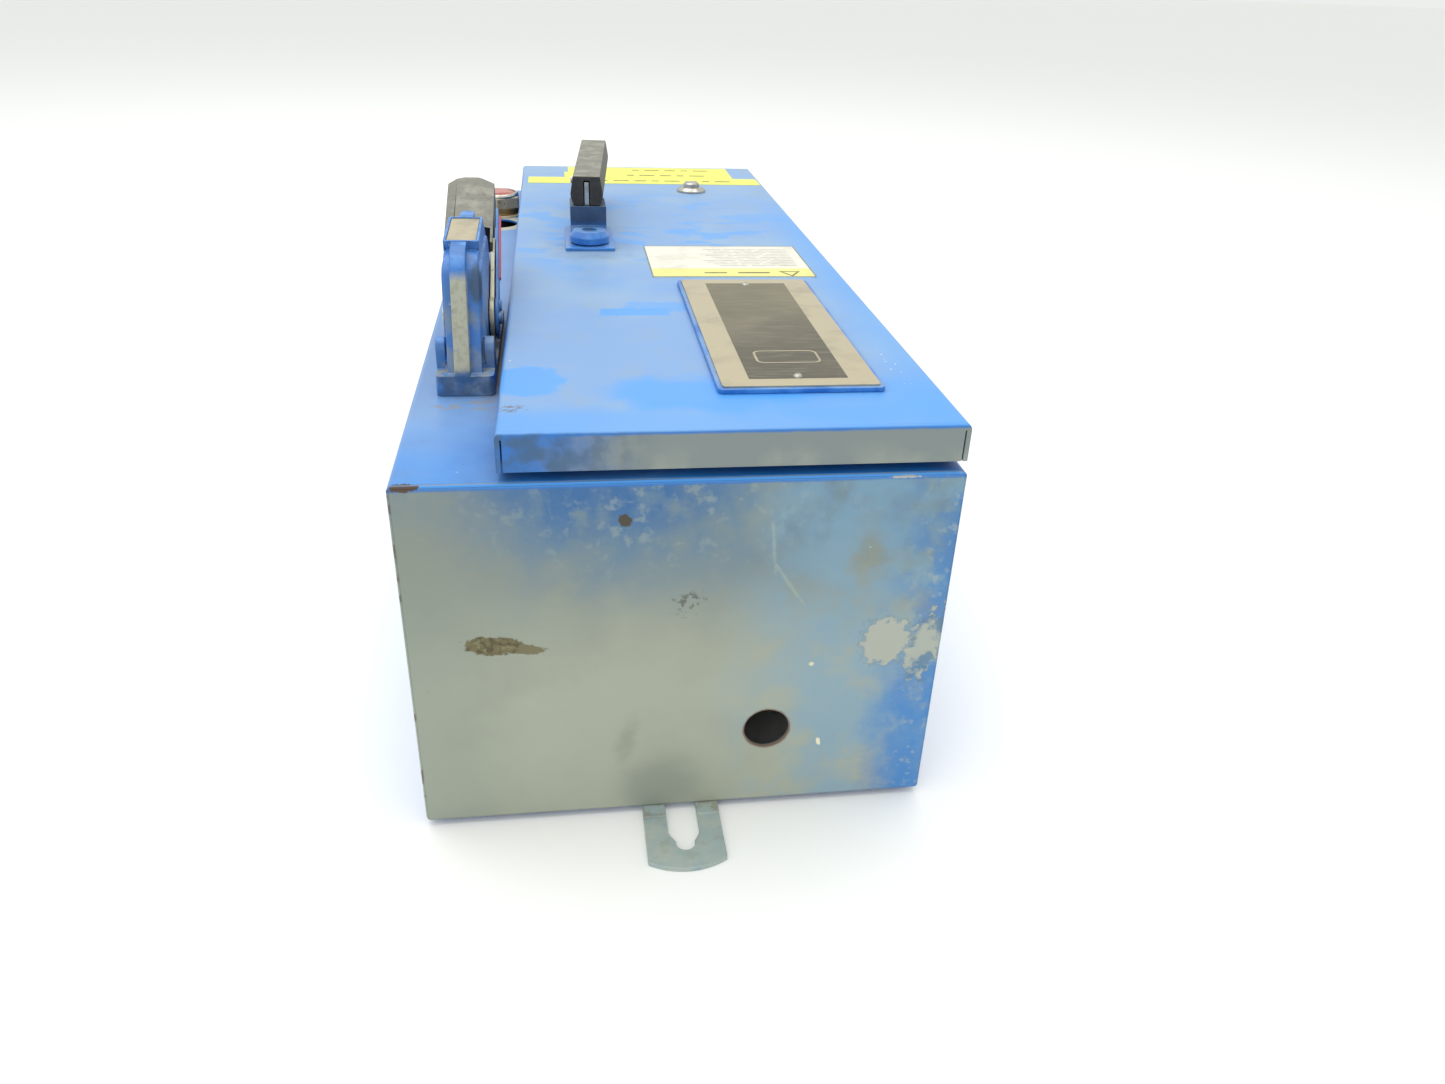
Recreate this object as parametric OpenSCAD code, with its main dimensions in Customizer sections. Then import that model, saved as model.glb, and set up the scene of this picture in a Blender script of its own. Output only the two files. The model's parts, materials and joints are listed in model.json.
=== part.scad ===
// Flange-operated disconnect in a steel starter enclosure, lying on its back.
// X runs across the box towards the hinge side, Y from the top end (-Y) to the bottom end (+Y),
// Z out of the door. The origin is the middle of the mounting plane.

/* [Enclosure] */
// Width of the box, across the door
box_w = 250; // [210:1:300]
// Length of the box, from its top end to its bottom end
box_l = 609.6; // [560:0.1:740]
// Depth of the box, from the back sheet to the front flange
box_d = 182.3; // [165:0.1:220]
// Thickness of the sheet steel
sheet = 1.9; // [1.5:0.1:2.2]
// Outside radius of the folded edges
bend_r = 3; // [2.5:0.1:3.6]
// Width of the front flange left of the door
flange_face = 45; // [43:0.5:52]
// Width of the front frame on the hinge side and at both ends
frame_rim = 15; // [14:0.5:17]
// Height of the turned-out lip round the door opening
rim_lip = 9.5; // [7:0.5:11]
// Diameter of the conduit hole in the top end
conduit_d = 22.2; // [20:0.1:28]
// Distance of the conduit hole from the middle of the box
conduit_x = 42; // [20:1:60]
// Height of the conduit hole's centre above the mounting plane
conduit_z = 48.4; // [35:0.1:70]

/* [Mounting tabs] */
// Thickness of a mounting tab
tab_t = 3.2; // [2.5:0.1:4]
// Width of a mounting tab
tab_w = 38.1; // [32:0.1:45]
// How far a tab stands out past the end of the box
tab_out = 43; // [38:0.5:50]
// Width of the wide part of the keyhole
key_wide = 15.5; // [14:0.5:18]
// Width of the narrow part of the keyhole
key_narrow = 9.2; // [7:0.1:10]

/* [Door] */
// Depth of the door pan's edge
door_lip = 17.8; // [16:0.1:22]
// Gap between the door's edge and the front flange
door_gap = 4.2; // [3:0.1:5]
// How far the door stays back from the hinge side and from each end
door_inset = 0.6; // [0.5:0.1:2]
// Extra that the door stays back from each end
door_end_inset = 1.9; // [1:0.1:4]
// Radius of a hinge pin
pin_r = 0.9; // [0.7:0.1:1]

/* [Door furniture] */
// Width of the nameplate's raised pad
plate_w = 78.5; // [60:0.5:90]
// Length of the nameplate's raised pad
plate_l = 181.7; // [150:0.1:200]
// Height of the nameplate's raised pad
plate_h = 2.4; // [1.5:0.1:4]
// Diameter of the reset bushing
reset_d = 23.3; // [20:0.1:28]
// Diameter of the reset knob
knob_d = 12.8; // [10:0.1:14]
// Travel of the reset knob
reset_travel = 5; // [3:0.5:6]

/* [Latch handle] */
// Radius of the latch boss
boss_r = 13; // [11:0.5:16]
// Length of the latch grip
latch_grip_l = 128; // [110:1:140]
// Width of the latch grip at its widest
latch_grip_w = 21.6; // [18:0.1:26]
// Height of the latch grip
latch_grip_h = 19; // [16:0.5:24]
// Radius of the latch shaft
latch_shaft_r = 5; // [4:0.5:6]
// Reach of the latch cam from the shaft
cam_reach = 52; // [50:1:56]

/* [Flange handle] */
// Width of the handle's base
base_w = 28.5; // [27.5:0.5:30]
// Width of the hump that the lever straddles
hump_w = 19.4; // [18:0.2:20]
// Height of the lever's pivot above the front flange
pivot_h = 19.5; // [19:0.5:24]
// Radius of the lever's shaft
shaft_r = 5; // [4:0.5:5.5]
// Length of the crank on the lever's shaft
crank_l = 22; // [18:0.5:24]
// Radial clearance of a running fit
run_fit = 0.05; // [0.03:0.01:0.08]
// Width of the lever's grip
lever_w = 26.6; // [26.2:0.1:28]

/* [Pilot device] */
// Diameter of a pilot device hole in the flange
device_d = 31; // [30:0.5:32]
// Distance between the open hole and the pilot light
device_pitch = 35.5; // [33:0.5:45]

/* [Inside] */
// Height of the studs that carry the mounting panel
stud_h = 9; // [6:0.5:14]
// Thickness of the mounting panel
panel_t = 2.4; // [1.5:0.1:3]
// Distance between the poles of the switch
pole_pitch = 32; // [30:0.5:34]
// Height of the rotor's axis above the mounting panel
rotor_h = 78.5; // [74:0.5:86]
// Radius of the rotor's shaft
rotor_r = 6; // [5:0.5:7]
// Length of a switch blade from the rotor's axis
blade_l = 52; // [46:1:54]
// Thickness of a switch blade
blade_t = 2; // [1.5:0.1:2.5]
// Clearance on each side of a blade in its jaw
blade_gap = 0.3; // [0.2:0.05:0.5]
// Diameter of a fuse tube
fuse_d = 20.6; // [16:0.1:22]
// Length of a fuse
fuse_l = 127; // [100:1:130]

/* [Hidden] */
$fn = 64;

// Levels and edges that several pieces share
side_seam = 2 * bend_r + 1;
half_w = box_w / 2;
half_l = box_l / 2;
back_z = tab_t;
flange_z = tab_t + box_d;
door_low_z = flange_z + door_gap;
door_z = door_low_z + door_lip;
panel_z = back_z + sheet + stud_h;
floor_z = panel_z + panel_t;
edge_r = 1.4;
ease = 0.3;

// Door opening and door outline
door_lap = 8;
open_x0 = -half_w + flange_face + door_lap;
open_x1 = half_w - frame_rim;
open_y = half_l - frame_rim;
door_x0 = -half_w + flange_face;
door_x1 = half_w - door_inset;
door_y = half_l - door_end_inset;

// Flange handle
handle_x = -half_w + 26.3;
pivot_y = -half_l + 164.8;
pivot_z = flange_z + pivot_h;
notch_r = 62;
hump_front_w = 16.6;
handle_lug_t = 4.8;
front_block_h = 10.5;
rib_x = -1;
lever_rest = 32;
crank_rest = -60;
arm_in = hump_w / 2 + 0.5;
arm_t = 2.5;
cover_in = lever_w / 2;
cover_t = 1.3;
cavity_w = hump_w - 6;
link_x0 = -0.5;
link_t = 3.5;
crank_t = 3.8;
crank_pin_r = 3.5;

// Pilot device
hole_y = half_l - 131.8;
pilot_y = hole_y + device_pitch;

// Door furniture
plate_x = door_x0 + 137.2;
plate_y = -half_l + 132.2;
label_x = door_x0 + 135.8;
label_y = -half_l + 275.6;
latch_x = door_x0 + 49.5;
latch_y = -half_l + 316.8;
reset_x = door_x1 - 65.9;
reset_y = half_l - 109.8;
boss_low = door_z + 2.8;
boss_top = door_z + 10.5;
latch_grip_z = door_z + 21.5;
latch_grip_y = 20;
latch_tilt = 1.8;
latch_skew = -4.3;

// Hinge
hinge_x = half_w - 2.7;
hinge_z = flange_z + door_gap / 2;
hinge_ys = [-half_l + 95, half_l - 95];
knuckle_r = door_gap / 2 - 0.2;
knuckle_l = 25;
leaf_t = 1.2;

// Switch
sw_x0 = handle_x + 16;
sw_x1 = sw_x0 + 3 * pole_pitch + 8;
pole_xs = [for (i = [0:2]) sw_x0 + 4 + (i + 0.5) * pole_pitch];
rotor_z = floor_z + rotor_h;
link_l = pivot_z - rotor_z;
jaw_z = floor_z + 43.5;
bracket_t = 5;
fuse_z = floor_z + 46;
fuse_y0 = pivot_y + 66;
fuse_y1 = fuse_y0 + fuse_l;
cap_l = 24;

// Starter
starter_x = reset_x + 2;
starter_w = 84;
contactor_y0 = reset_y - 120;
contactor_y1 = reset_y - 42;
relay_y0 = reset_y - 36;
relay_y1 = reset_y + 42;
relay_top = floor_z + 62;
cross_travel = 4;

// ---- Helpers ----
module along_y(y0, y1) {
    translate([0, y1, 0]) rotate([90, 0, 0]) linear_extrude(y1 - y0) children();
}

module along_x(x0, x1) {
    translate([x0, 0, 0]) rotate([90, 0, 90]) linear_extrude(x1 - x0) children();
}

module along_z(z0, z1) {
    translate([0, 0, z0]) linear_extrude(z1 - z0) children();
}

module box(x0, x1, y0, y1, z0, z1) {
    translate([x0, y0, z0]) cube([x1 - x0, y1 - y0, z1 - z0]);
}

module rod_x(x0, x1, y, z, r) {
    translate([x0, y, z]) rotate([0, 90, 0]) cylinder(h = x1 - x0, r = r);
}

module rod_y(y0, y1, x, z, r) {
    translate([x, y0, z]) rotate([-90, 0, 0]) cylinder(h = y1 - y0, r = r);
}

module rod_z(z0, z1, x, y, r) {
    translate([x, y, z0]) cylinder(h = z1 - z0, r = r);
}

// Rectangle from corner to corner with each corner rounded by its own radius
module round_rect(x0, x1, y0, y1, r) {
    union() {
        translate([x0 + r, y0]) square([x1 - x0 - 2 * r, y1 - y0]);
        translate([x0, y0 + r]) square([x1 - x0, y1 - y0 - 2 * r]);
        for (x = [x0 + r, x1 - r], y = [y0 + r, y1 - r]) translate([x, y]) circle(r);
    }
}

// Rectangle whose two lower corners are rounded
module tub(x0, x1, y0, y1, r) {
    union() {
        translate([x0 + r, y0]) square([x1 - x0 - 2 * r, y1 - y0]);
        translate([x0, y0 + r]) square([x1 - x0, y1 - y0 - r]);
        for (x = [x0 + r, x1 - r]) translate([x, y0 + r]) circle(r);
    }
}

// Rectangle whose two upper corners are rounded
module arch(x0, x1, y0, y1, r) {
    mirror([0, 1]) tub(x0, x1, -y1, -y0, r);
}

function arc(cx, cy, r, a0, a1, n) =
    [for (i = [0:n]) let (a = a0 + (a1 - a0) * i / n) [cx + r * cos(a), cy + r * sin(a)]];

// ---- Enclosure ----
module enclosure_wrap() color("#2f6fc4")
    along_y(-half_l + sheet, half_l - sheet) difference() {
        tub(-half_w, half_w, back_z, flange_z - side_seam, bend_r);
        tub(-half_w + sheet, half_w - sheet, back_z + sheet, flange_z, bend_r - sheet + 0.2);
    }

module front_flange() color("#2f6fc4") difference() {
    union() {
        along_y(-half_l + sheet, half_l - sheet) difference() {
            arch(-half_w, half_w, flange_z - side_seam, flange_z, bend_r);
            arch(-half_w + sheet, half_w - sheet, back_z, flange_z - sheet, bend_r - sheet + 0.2);
        }
        box(open_x0 - sheet, open_x1 + sheet, -open_y - sheet, open_y + sheet, flange_z - sheet,
            flange_z + rim_lip);
    }
    box(open_x0, open_x1, -open_y, open_y, flange_z - 2 * sheet, flange_z + 2 * rim_lip);
    box(handle_x - cavity_w / 2, handle_x + cavity_w / 2, pivot_y - 12, pivot_y + 36,
        flange_z - 2 * sheet, flange_z + sheet);
    for (dy = [-57, 55]) rod_z(flange_z - 2 * sheet, flange_z + sheet, handle_x, pivot_y + dy, 2.6);
    for (y = [hole_y, pilot_y]) rod_z(flange_z - 2 * sheet, flange_z + sheet, handle_x, y, device_d / 2);
}

// End plate at the top end; the bottom one is its mirror image
module end_plate() intersection() {
    along_y(-half_l, -half_l + sheet) round_rect(-half_w, half_w, back_z, flange_z, bend_r);
    along_x(-half_w, half_w) union() {
        round_rect(-half_l, -half_l + 4 * sheet, back_z, flange_z, edge_r);
    }
    along_z(back_z, flange_z) union() {
        round_rect(-half_w, half_w, -half_l, -half_l + 4 * sheet, edge_r);
    }
}

module top_end_plate() color("#7f96ad") difference() {
    end_plate();
    rod_y(-half_l - sheet, -half_l + 2 * sheet, conduit_x, conduit_z, conduit_d / 2);
}

module bottom_end_plate() color("#2f6fc4") mirror([0, 1, 0]) end_plate();

// Tab with a keyhole, welded under the back sheet
module mounting_tab() difference() {
    along_z(0, tab_t) union() {
        translate([-tab_w / 2, -half_l - tab_out + 12]) square([tab_w, tab_out + 48]);
        intersection() {
            translate([0, -half_l - tab_out + 34.5]) circle(34.5, $fn = 128);
            translate([-tab_w / 2, -half_l - tab_out]) round_rect(0, tab_w, 0, 40, 7);
        }
    }
    along_z(-1, tab_t + 1) union() {
        translate([-key_wide / 2, -half_l - 19.8]) square([key_wide, 19.8 + 6]);
        translate([0, -half_l - 19.8]) polygon([
            [-key_wide / 2, 0.1], [key_wide / 2, 0.1], [key_narrow / 2, -5.4], [-key_narrow / 2, -5.4]]);
        translate([-key_narrow / 2, -half_l - 26.5]) square([key_narrow, 3]);
        translate([0, -half_l - 26.5]) circle(key_narrow / 2);
    }
    translate([0, 0, tab_t - 0.6]) along_z(0, 1)
        translate([-tab_w, -half_l - tab_out - 1]) square([2 * tab_w, tab_out - 6.5]);
}

module top_mounting_tab() color("#6f86a8") mounting_tab();

module bottom_mounting_tab() color("#6f86a8") mirror([0, 1, 0]) mounting_tab();

module mounting_panel() color("#d9dcda") difference() {
    along_z(panel_z, floor_z)
        round_rect(-half_w + 14, half_w - 14, -half_l + 22, half_l - 22, 6);
    for (x = [-half_w + 26, half_w - 26], y = [-half_l + 36, half_l - 36])
        rod_z(panel_z - 1, floor_z + 1, x, y, 3.2);
}

module panel_studs() color("#b8b8b0")
    for (x = [-half_w + 26, half_w - 26], y = [-half_l + 36, half_l - 36]) {
        rod_z(back_z + sheet, floor_z + 9, x, y, 3);
        rod_z(back_z + sheet, panel_z, x, y, 6);
        translate([x, y, floor_z]) cylinder(h = 5, r = 6.4, $fn = 6);
    }

// ---- Hinges ----
module hinge_box_leaves() color("#9aa0a4")
    for (y = hinge_ys) difference() {
        for (s = [-1, 1]) {
            y0 = y + s * (knuckle_l + ease) - knuckle_l / 2;
            rod_y(y0, y0 + knuckle_l, hinge_x, hinge_z, knuckle_r);
            box(hinge_x - 8, hinge_x, y0, y0 + knuckle_l, flange_z, flange_z + leaf_t);
        }
        rod_y(y - 2 * knuckle_l, y + 2 * knuckle_l, hinge_x, hinge_z, pin_r);
    }

module hinge_pins() color("#c8c8c4")
    for (y = hinge_ys) {
        rod_y(y - 1.5 * knuckle_l - 1, y + 1.5 * knuckle_l + 1, hinge_x, hinge_z, pin_r);
        rod_y(y - 1.5 * knuckle_l - 2.5, y - 1.5 * knuckle_l - 1, hinge_x, hinge_z, pin_r + 0.6);
    }

module hinge_door_leaves() color("#9aa0a4")
    for (y = hinge_ys) difference() {
        union() {
            rod_y(y - knuckle_l / 2, y + knuckle_l / 2, hinge_x, hinge_z, knuckle_r);
            box(door_x1 - sheet - leaf_t, door_x1 - sheet, y - knuckle_l / 2, y + knuckle_l / 2,
                hinge_z, door_z - sheet - 6);
        }
        rod_y(y - knuckle_l, y + knuckle_l, hinge_x, hinge_z, pin_r + run_fit);
    }

// ---- Flange handle ----
// Outline of the rib, of the hump or of the cavity, drawn inwards from the rib by d
function hump_outline(d, low) = concat(
    [[-64 + d, low], [-64 + d, front_block_h]],
    arc(-30.5, 47, 20 - d, 168, 92, 10),
    arc(18, 47, 22 - d, 82, 14, 10),
    [[58 - d, 12], [58 - d, low]]);

module handle_base() color("#2f6fc4") translate([handle_x, pivot_y, flange_z]) difference() {
    union() {
        along_z(0, 6) round_rect(-base_w / 2, base_w / 2, -64, 61, 3);
        along_z(0, front_block_h) round_rect(-base_w / 2, base_w / 2, -64, -38, 3);
        for (x = [-base_w / 2, base_w / 2 - handle_lug_t]) along_x(x, x + handle_lug_t)
            union() {
                translate([-53, 6]) square([12, 13]);
                translate([-47, 19]) circle(6);
                translate([-43, 6]) polygon([[0, 0], [6, 0], [3, 10], [0, 14]]);
            }
        along_x(-hump_front_w / 2, hump_front_w / 2) polygon(hump_outline(4, 0));
        along_x(-hump_w / 2, hump_w / 2) polygon(hump_outline(10, 0));
        along_x(rib_x - 3.8, rib_x + 3.8) polygon(hump_outline(0, 0));
        // Frame that holds the small plate
        translate([0, -28, 60]) rotate([3.4, 0, 0]) along_z(0, 7.6) round_rect(-8.8, 8.8, 0, 42.5, 1.5);
        // Rounded ear behind the frame
        translate([0, 16, 60]) along_z(0, 9.6) round_rect(-3.7, 3.7, -2, 15, 3.6);
    }
    along_x(-cavity_w / 2, cavity_w / 2) polygon(hump_outline(8.5, -1));
    translate([0, -28, 66.2]) rotate([3.4, 0, 0]) along_z(0, 6) round_rect(-7.3, 7.3, 1.6, 40.9, 0.8);
    rod_x(-base_w, base_w, 0, pivot_h, shaft_r + run_fit);
    for (dy = [-57, 55]) rod_z(-1, dy < 0 ? 8.5 : 5, 0, dy, 2.5);
}

module handle_plate() color("#a3937c") translate([handle_x, pivot_y - 28, flange_z + 66.2])
    rotate([3.4, 0, 0]) along_z(0, 0.8) round_rect(-7.1, 7.1, 1.8, 40.7, 0.7);

module handle_screws() color("#c0c2c0") translate([handle_x, pivot_y, flange_z])
    for (dy = [-57, 55]) {
        rod_z(-sheet - 0.1, dy < 0 ? 8 : 4.5, 0, dy, 2.45);
        rod_z(-sheet - 3, -sheet, 0, dy, 4.6);
    }

// Side arm, from x0 to x1, in the lever's rest pose; tip is how high its far end stands
arm_half = 7.5;
yoke_reach = 56;
yoke_tip = 3;
module lever_arm(x0, x1, reach, tip) {
    rotate([lever_rest, 0, 0]) along_x(x0, x1) union() {
        circle(11);
        polygon([[0, -arm_half], [reach, -arm_half], [reach, tip], [0, arm_half]]);
    }
}

module lever_yoke() color("#b9b49c") translate([handle_x, pivot_y, pivot_z])
    for (s = [-1, 1]) difference() {
        if (s < 0) lever_arm(-arm_in - arm_t, -arm_in, yoke_reach, yoke_tip);
        else lever_arm(arm_in, arm_in + arm_t, yoke_reach, yoke_tip);
        rod_x(-base_w, base_w, 0, 0, shaft_r);
    }

module lever_shaft() color("#c9cac6") translate([handle_x, pivot_y, pivot_z]) {
    rod_x(-arm_in - arm_t - 1.8, arm_in + arm_t, 0, 0, shaft_r);
    rod_x(-arm_in - arm_t - 1.8, -arm_in - arm_t, 0, 0, 7);
    rotate([crank_rest, 0, 0]) {
        rod_x(link_x0 - ease - crank_t, link_x0 - ease, 0, 0, 9);
        rod_x(link_x0 - ease - crank_t, link_x0 - ease, crank_l, 0, 6);
        along_x(link_x0 - ease - crank_t, link_x0 - ease)
            polygon([[0, -8], [crank_l, -6], [crank_l, 6], [0, 8]]);
        rod_x(link_x0 - ease, link_x0 + link_t + 1, crank_l, 0, crank_pin_r);
    }
}

// The grip is drawn along its own axis, with its top face in the plane z = 0
grip_tilt = 20.6;
grip_len = 68;
grip_deep = 21;
grip_x = -1.8;
module lever_grip_body() translate([grip_x, 33, 51 - pivot_h]) rotate([grip_tilt, 0, 0]) intersection() {
    along_y(0, grip_len) polygon([
        [-lever_w / 2, -2], [-lever_w / 2 + 5, 0], [6, 0], [lever_w / 2, -1.6],
        [lever_w / 2, -grip_deep + 5], [lever_w / 2 - 5, -grip_deep],
        [-lever_w / 2 + 5, -grip_deep], [-lever_w / 2, -grip_deep + 5]]);
    along_x(-lever_w, lever_w) polygon([
        [7, 1], [grip_len + 1, 1], [grip_len + 1, -grip_deep - 1], [7, -grip_deep - 1],
        [0, -grip_deep + 5], [0, -6]]);
    along_z(-grip_deep - 1, 2) polygon([
        [-lever_w / 2 - 1, -1], [lever_w / 2 + 1, -1], [lever_w / 2 + 1, grip_len - 4.4], [4, grip_len],
        [-4, grip_len], [-lever_w / 2 - 1, grip_len - 4.4]]);
}

module lever_grip() color("#3a3a3c") translate([handle_x, pivot_y, pivot_z]) difference() {
    lever_grip_body();
    rod_x(-arm_in + 0.2, arm_in - 0.2, 0, 0, notch_r);
    lever_arm(-arm_in - arm_t, -arm_in + 0.5, yoke_reach, yoke_tip);
    lever_arm(arm_in - 0.5, arm_in + arm_t, yoke_reach, yoke_tip);
}

module lever_cover() translate([handle_x, pivot_y, pivot_z]) {
    color("#2f6fc4") difference() {
        union() {
            lever_arm(cover_in, cover_in + cover_t, 74, arm_half);
            rod_x(arm_in + arm_t, cover_in, 0, 0, 9);
        }
        rotate([lever_rest, 0, 0]) box(cover_in - 1, cover_in + 3, 20, 68, 5.5, 8);
    }
    color("#b8324a") rotate([lever_rest, 0, 0]) box(cover_in, cover_in + cover_t, 20, 68, 5.5, 7.5);
    color("#d4d6d4") for (p = [0, 9]) rotate([lever_rest, 0, 0])
        rod_x(cover_in + cover_t, cover_in + cover_t + 1.4, p, 0, 3);
}

module connecting_link() color("#b4b09a") translate([handle_x, pivot_y, pivot_z]) {
    pin = [crank_l * cos(crank_rest), crank_l * sin(crank_rest)];
    difference() {
        union() {
            along_x(link_x0, link_x0 + link_t)
                translate([pin[0] - 5, pin[1] - link_l]) square([10, link_l]);
            rod_x(link_x0, link_x0 + link_t, pin[0], pin[1], 7);
            rod_x(link_x0, link_x0 + link_t, pin[0], pin[1] - link_l, 7);
        }
        rod_x(-10, 10, pin[0], pin[1], crank_pin_r + run_fit);
        rod_x(-10, 10, pin[0], pin[1] - link_l, crank_pin_r + 0.4);
    }
}

// ---- Pilot light ----
module ring_z(z0, z1, x, y, r, r_in) difference() {
    rod_z(z0, z1, x, y, r);
    rod_z(z0 - 1, z1 + 1, x, y, r_in);
}

pilot_r = device_d / 2 - 0.6;
// The ring stops short of the open hole beside it
legend_r = min(24, device_pitch - device_d / 2 - 0.6);
module pilot_legend_ring() color("#cdc7b0")
    ring_z(flange_z, flange_z + 1.5, handle_x, pilot_y, legend_r, pilot_r);

module pilot_washers() color("#b39a72") {
    ring_z(flange_z + 1.5, flange_z + 2.7, handle_x, pilot_y, 18, pilot_r);
    ring_z(flange_z + 2.7, flange_z + 3.5, handle_x, pilot_y, 16.5, pilot_r);
    ring_z(flange_z + 3.5, flange_z + 6.3, handle_x, pilot_y, 17.2, pilot_r);
}

module pilot_ring_nut() color("#a8a498") difference() {
    translate([handle_x, pilot_y, flange_z + 6.3]) rotate([0, 0, 30]) cylinder(h = 8.6, r = 18.8, $fn = 6);
    rod_z(flange_z, flange_z + 20, handle_x, pilot_y, pilot_r);
}

module pilot_bezel() color("#c9c9c6") difference() {
    union() {
        rod_z(flange_z + 14.9, flange_z + 16, handle_x, pilot_y, 16.6);
        translate([handle_x, pilot_y, flange_z + 16]) cylinder(h = 1.6, r1 = 16.6, r2 = 15.4);
    }
    rod_z(flange_z + 14, flange_z + 20, handle_x, pilot_y, 13.9);
}

module pilot_lens() color("#b8503c") union() {
    rod_z(flange_z + 13, flange_z + 16.6, handle_x, pilot_y, 13.8);
    translate([handle_x, pilot_y, flange_z + 16.6]) cylinder(h = 1.6, r1 = 13.8, r2 = 10);
}

module pilot_body() color("#2c2c2e") union() {
    rod_z(flange_z - sheet - 0.1, flange_z + 13, handle_x, pilot_y, pilot_r);
    rod_z(flange_z - sheet - 5, flange_z - sheet, handle_x, pilot_y, 18);
    along_z(flange_z - sheet - 44, flange_z - sheet - 5)
        translate([handle_x, pilot_y]) round_rect(-16, 16, -16, 16, 3);
}

// ---- Disconnect switch ----
module switch_base() color("#4a4038") difference() {
    union() {
        box(sw_x0, sw_x1, pivot_y - 66, pivot_y + 56, floor_z, floor_z + 12);
        box(sw_x0, sw_x1, pivot_y - 62, pivot_y - 26, floor_z + 12, jaw_z);
        box(sw_x0, sw_x1, pivot_y - 14, pivot_y + 16, floor_z + 12, jaw_z);
        // Barriers between the poles
        for (i = [1:2]) box(sw_x0 + 3 + i * pole_pitch, sw_x0 + 5 + i * pole_pitch,
            pivot_y - 66, pivot_y - 24, floor_z + 12, jaw_z + 42);
    }
    for (x = [sw_x0 + 6, sw_x1 - 6], y = [pivot_y - 20, pivot_y + 46])
        rod_z(floor_z - 1, floor_z + 13, x, y, 2.5);
}

module bearing_brackets() color("#8f9498") difference() {
    for (x = [sw_x0, sw_x1 - bracket_t])
        along_x(x, x + bracket_t) union() {
            translate([pivot_y - 14, jaw_z]) square([28, rotor_z - jaw_z]);
            translate([pivot_y, rotor_z]) circle(14);
        }
    rod_x(sw_x0 - 1, sw_x1 + 1, pivot_y, rotor_z, rotor_r + run_fit);
}

module line_jaws() color("#b8763c")
    for (x = pole_xs) {
        box(x - 8, x + 8, pivot_y - 61, pivot_y - 30, jaw_z, jaw_z + 2.5);
        for (s = [-1, 1]) {
            x0 = s < 0 ? x - blade_t / 2 - blade_gap - 1.4 : x + blade_t / 2 + blade_gap;
            box(x0, x0 + 1.4, pivot_y - 50, pivot_y - 34, jaw_z + 2.5, rotor_z + 10);
        }
    }

module hinge_clips() color("#b8763c")
    for (x = pole_xs) {
        box(x - 6, x + 6, pivot_y - 10, pivot_y + 14, jaw_z, jaw_z + 2.5);
        for (s = [-1, 1]) {
            x0 = s < 0 ? x - blade_t / 2 - blade_gap - 1.4 : x + blade_t / 2 + blade_gap;
            box(x0, x0 + 1.4, pivot_y - 8, pivot_y + 8, jaw_z + 2.5, rotor_z - rotor_r - 0.6);
        }
    }

module lug(x, y0, y1, z0) difference() {
    box(x - 8, x + 8, y0, y1, z0, z0 + 18);
    rod_y(y0 - 1, y1 + 1, x, z0 + 8, 4.5);
    rod_z(z0 + 8, z0 + 19, x, (y0 + y1) / 2, 3.2);
}

module line_lugs() color("#c4c6c4")
    for (x = pole_xs) {
        lug(x, pivot_y - 60, pivot_y - 52.5, jaw_z + 2.5);
        rod_z(jaw_z + 14, jaw_z + 23, x, pivot_y - 56.25, 3.1);
    }

module line_shield() color("#c9d4d8", 0.5) difference() {
    box(sw_x0 + 1, sw_x1 - 1, pivot_y - 69, pivot_y - 24, floor_z + 12, rotor_z + 24);
    box(sw_x0 - 1, sw_x1 + 1, pivot_y - 67.5, pivot_y - 20, floor_z + 10, rotor_z + 22.5);
    for (x = pole_xs) box(x - 4, x + 4, pivot_y - 60, pivot_y - 20, rotor_z + 20, rotor_z + 30);
    for (x = pole_xs) rod_y(pivot_y - 72, pivot_y - 64, x, jaw_z + 10.5, 7);
}

module fuse_base() color("#4a4038") union() {
    for (y = [fuse_y0 - 2, fuse_y1 - cap_l - 2]) box(sw_x0, sw_x1, y, y + cap_l + 4, floor_z, fuse_z - 18);
    box(sw_x0, sw_x1, fuse_y0 - 2, fuse_y1 + 16, floor_z, floor_z + 8);
}

module fuse_clips() color("#b8763c")
    for (x = pole_xs, y = [fuse_y0 + 5, fuse_y1 - 17]) difference() {
        union() {
            box(x - 6, x + 6, y, y + 12, fuse_z - 18, fuse_z - 11);
            difference() {
                rod_y(y, y + 12, x, fuse_z, fuse_d / 2 + 2.4);
                box(x - 8, x + 8, y - 1, y + 13, fuse_z + 4, fuse_z + 20);
            }
        }
        rod_y(y - 1, y + 13, x, fuse_z, fuse_d / 2 + 0.8);
    }

module fuse_tubes() color("#8a5a3c")
    for (x = pole_xs) rod_y(fuse_y0 + 3, fuse_y1 - 3, x, fuse_z, fuse_d / 2 - 0.4);

module fuse_caps() color("#c08a50")
    for (x = pole_xs, e = [0, 1]) {
        y0 = e == 0 ? fuse_y0 : fuse_y1 - cap_l;
        difference() {
            rod_y(y0, y0 + cap_l, x, fuse_z, fuse_d / 2 + 0.4);
            rod_y(e == 0 ? y0 + 3 : y0 - 1, e == 0 ? y0 + cap_l + 1 : y0 + cap_l - 3, x, fuse_z,
                fuse_d / 2 - 0.4);
        }
    }

module load_lugs() color("#c4c6c4")
    for (x = pole_xs) lug(x, fuse_y1 + 4, fuse_y1 + 14, floor_z + 8);

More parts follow.
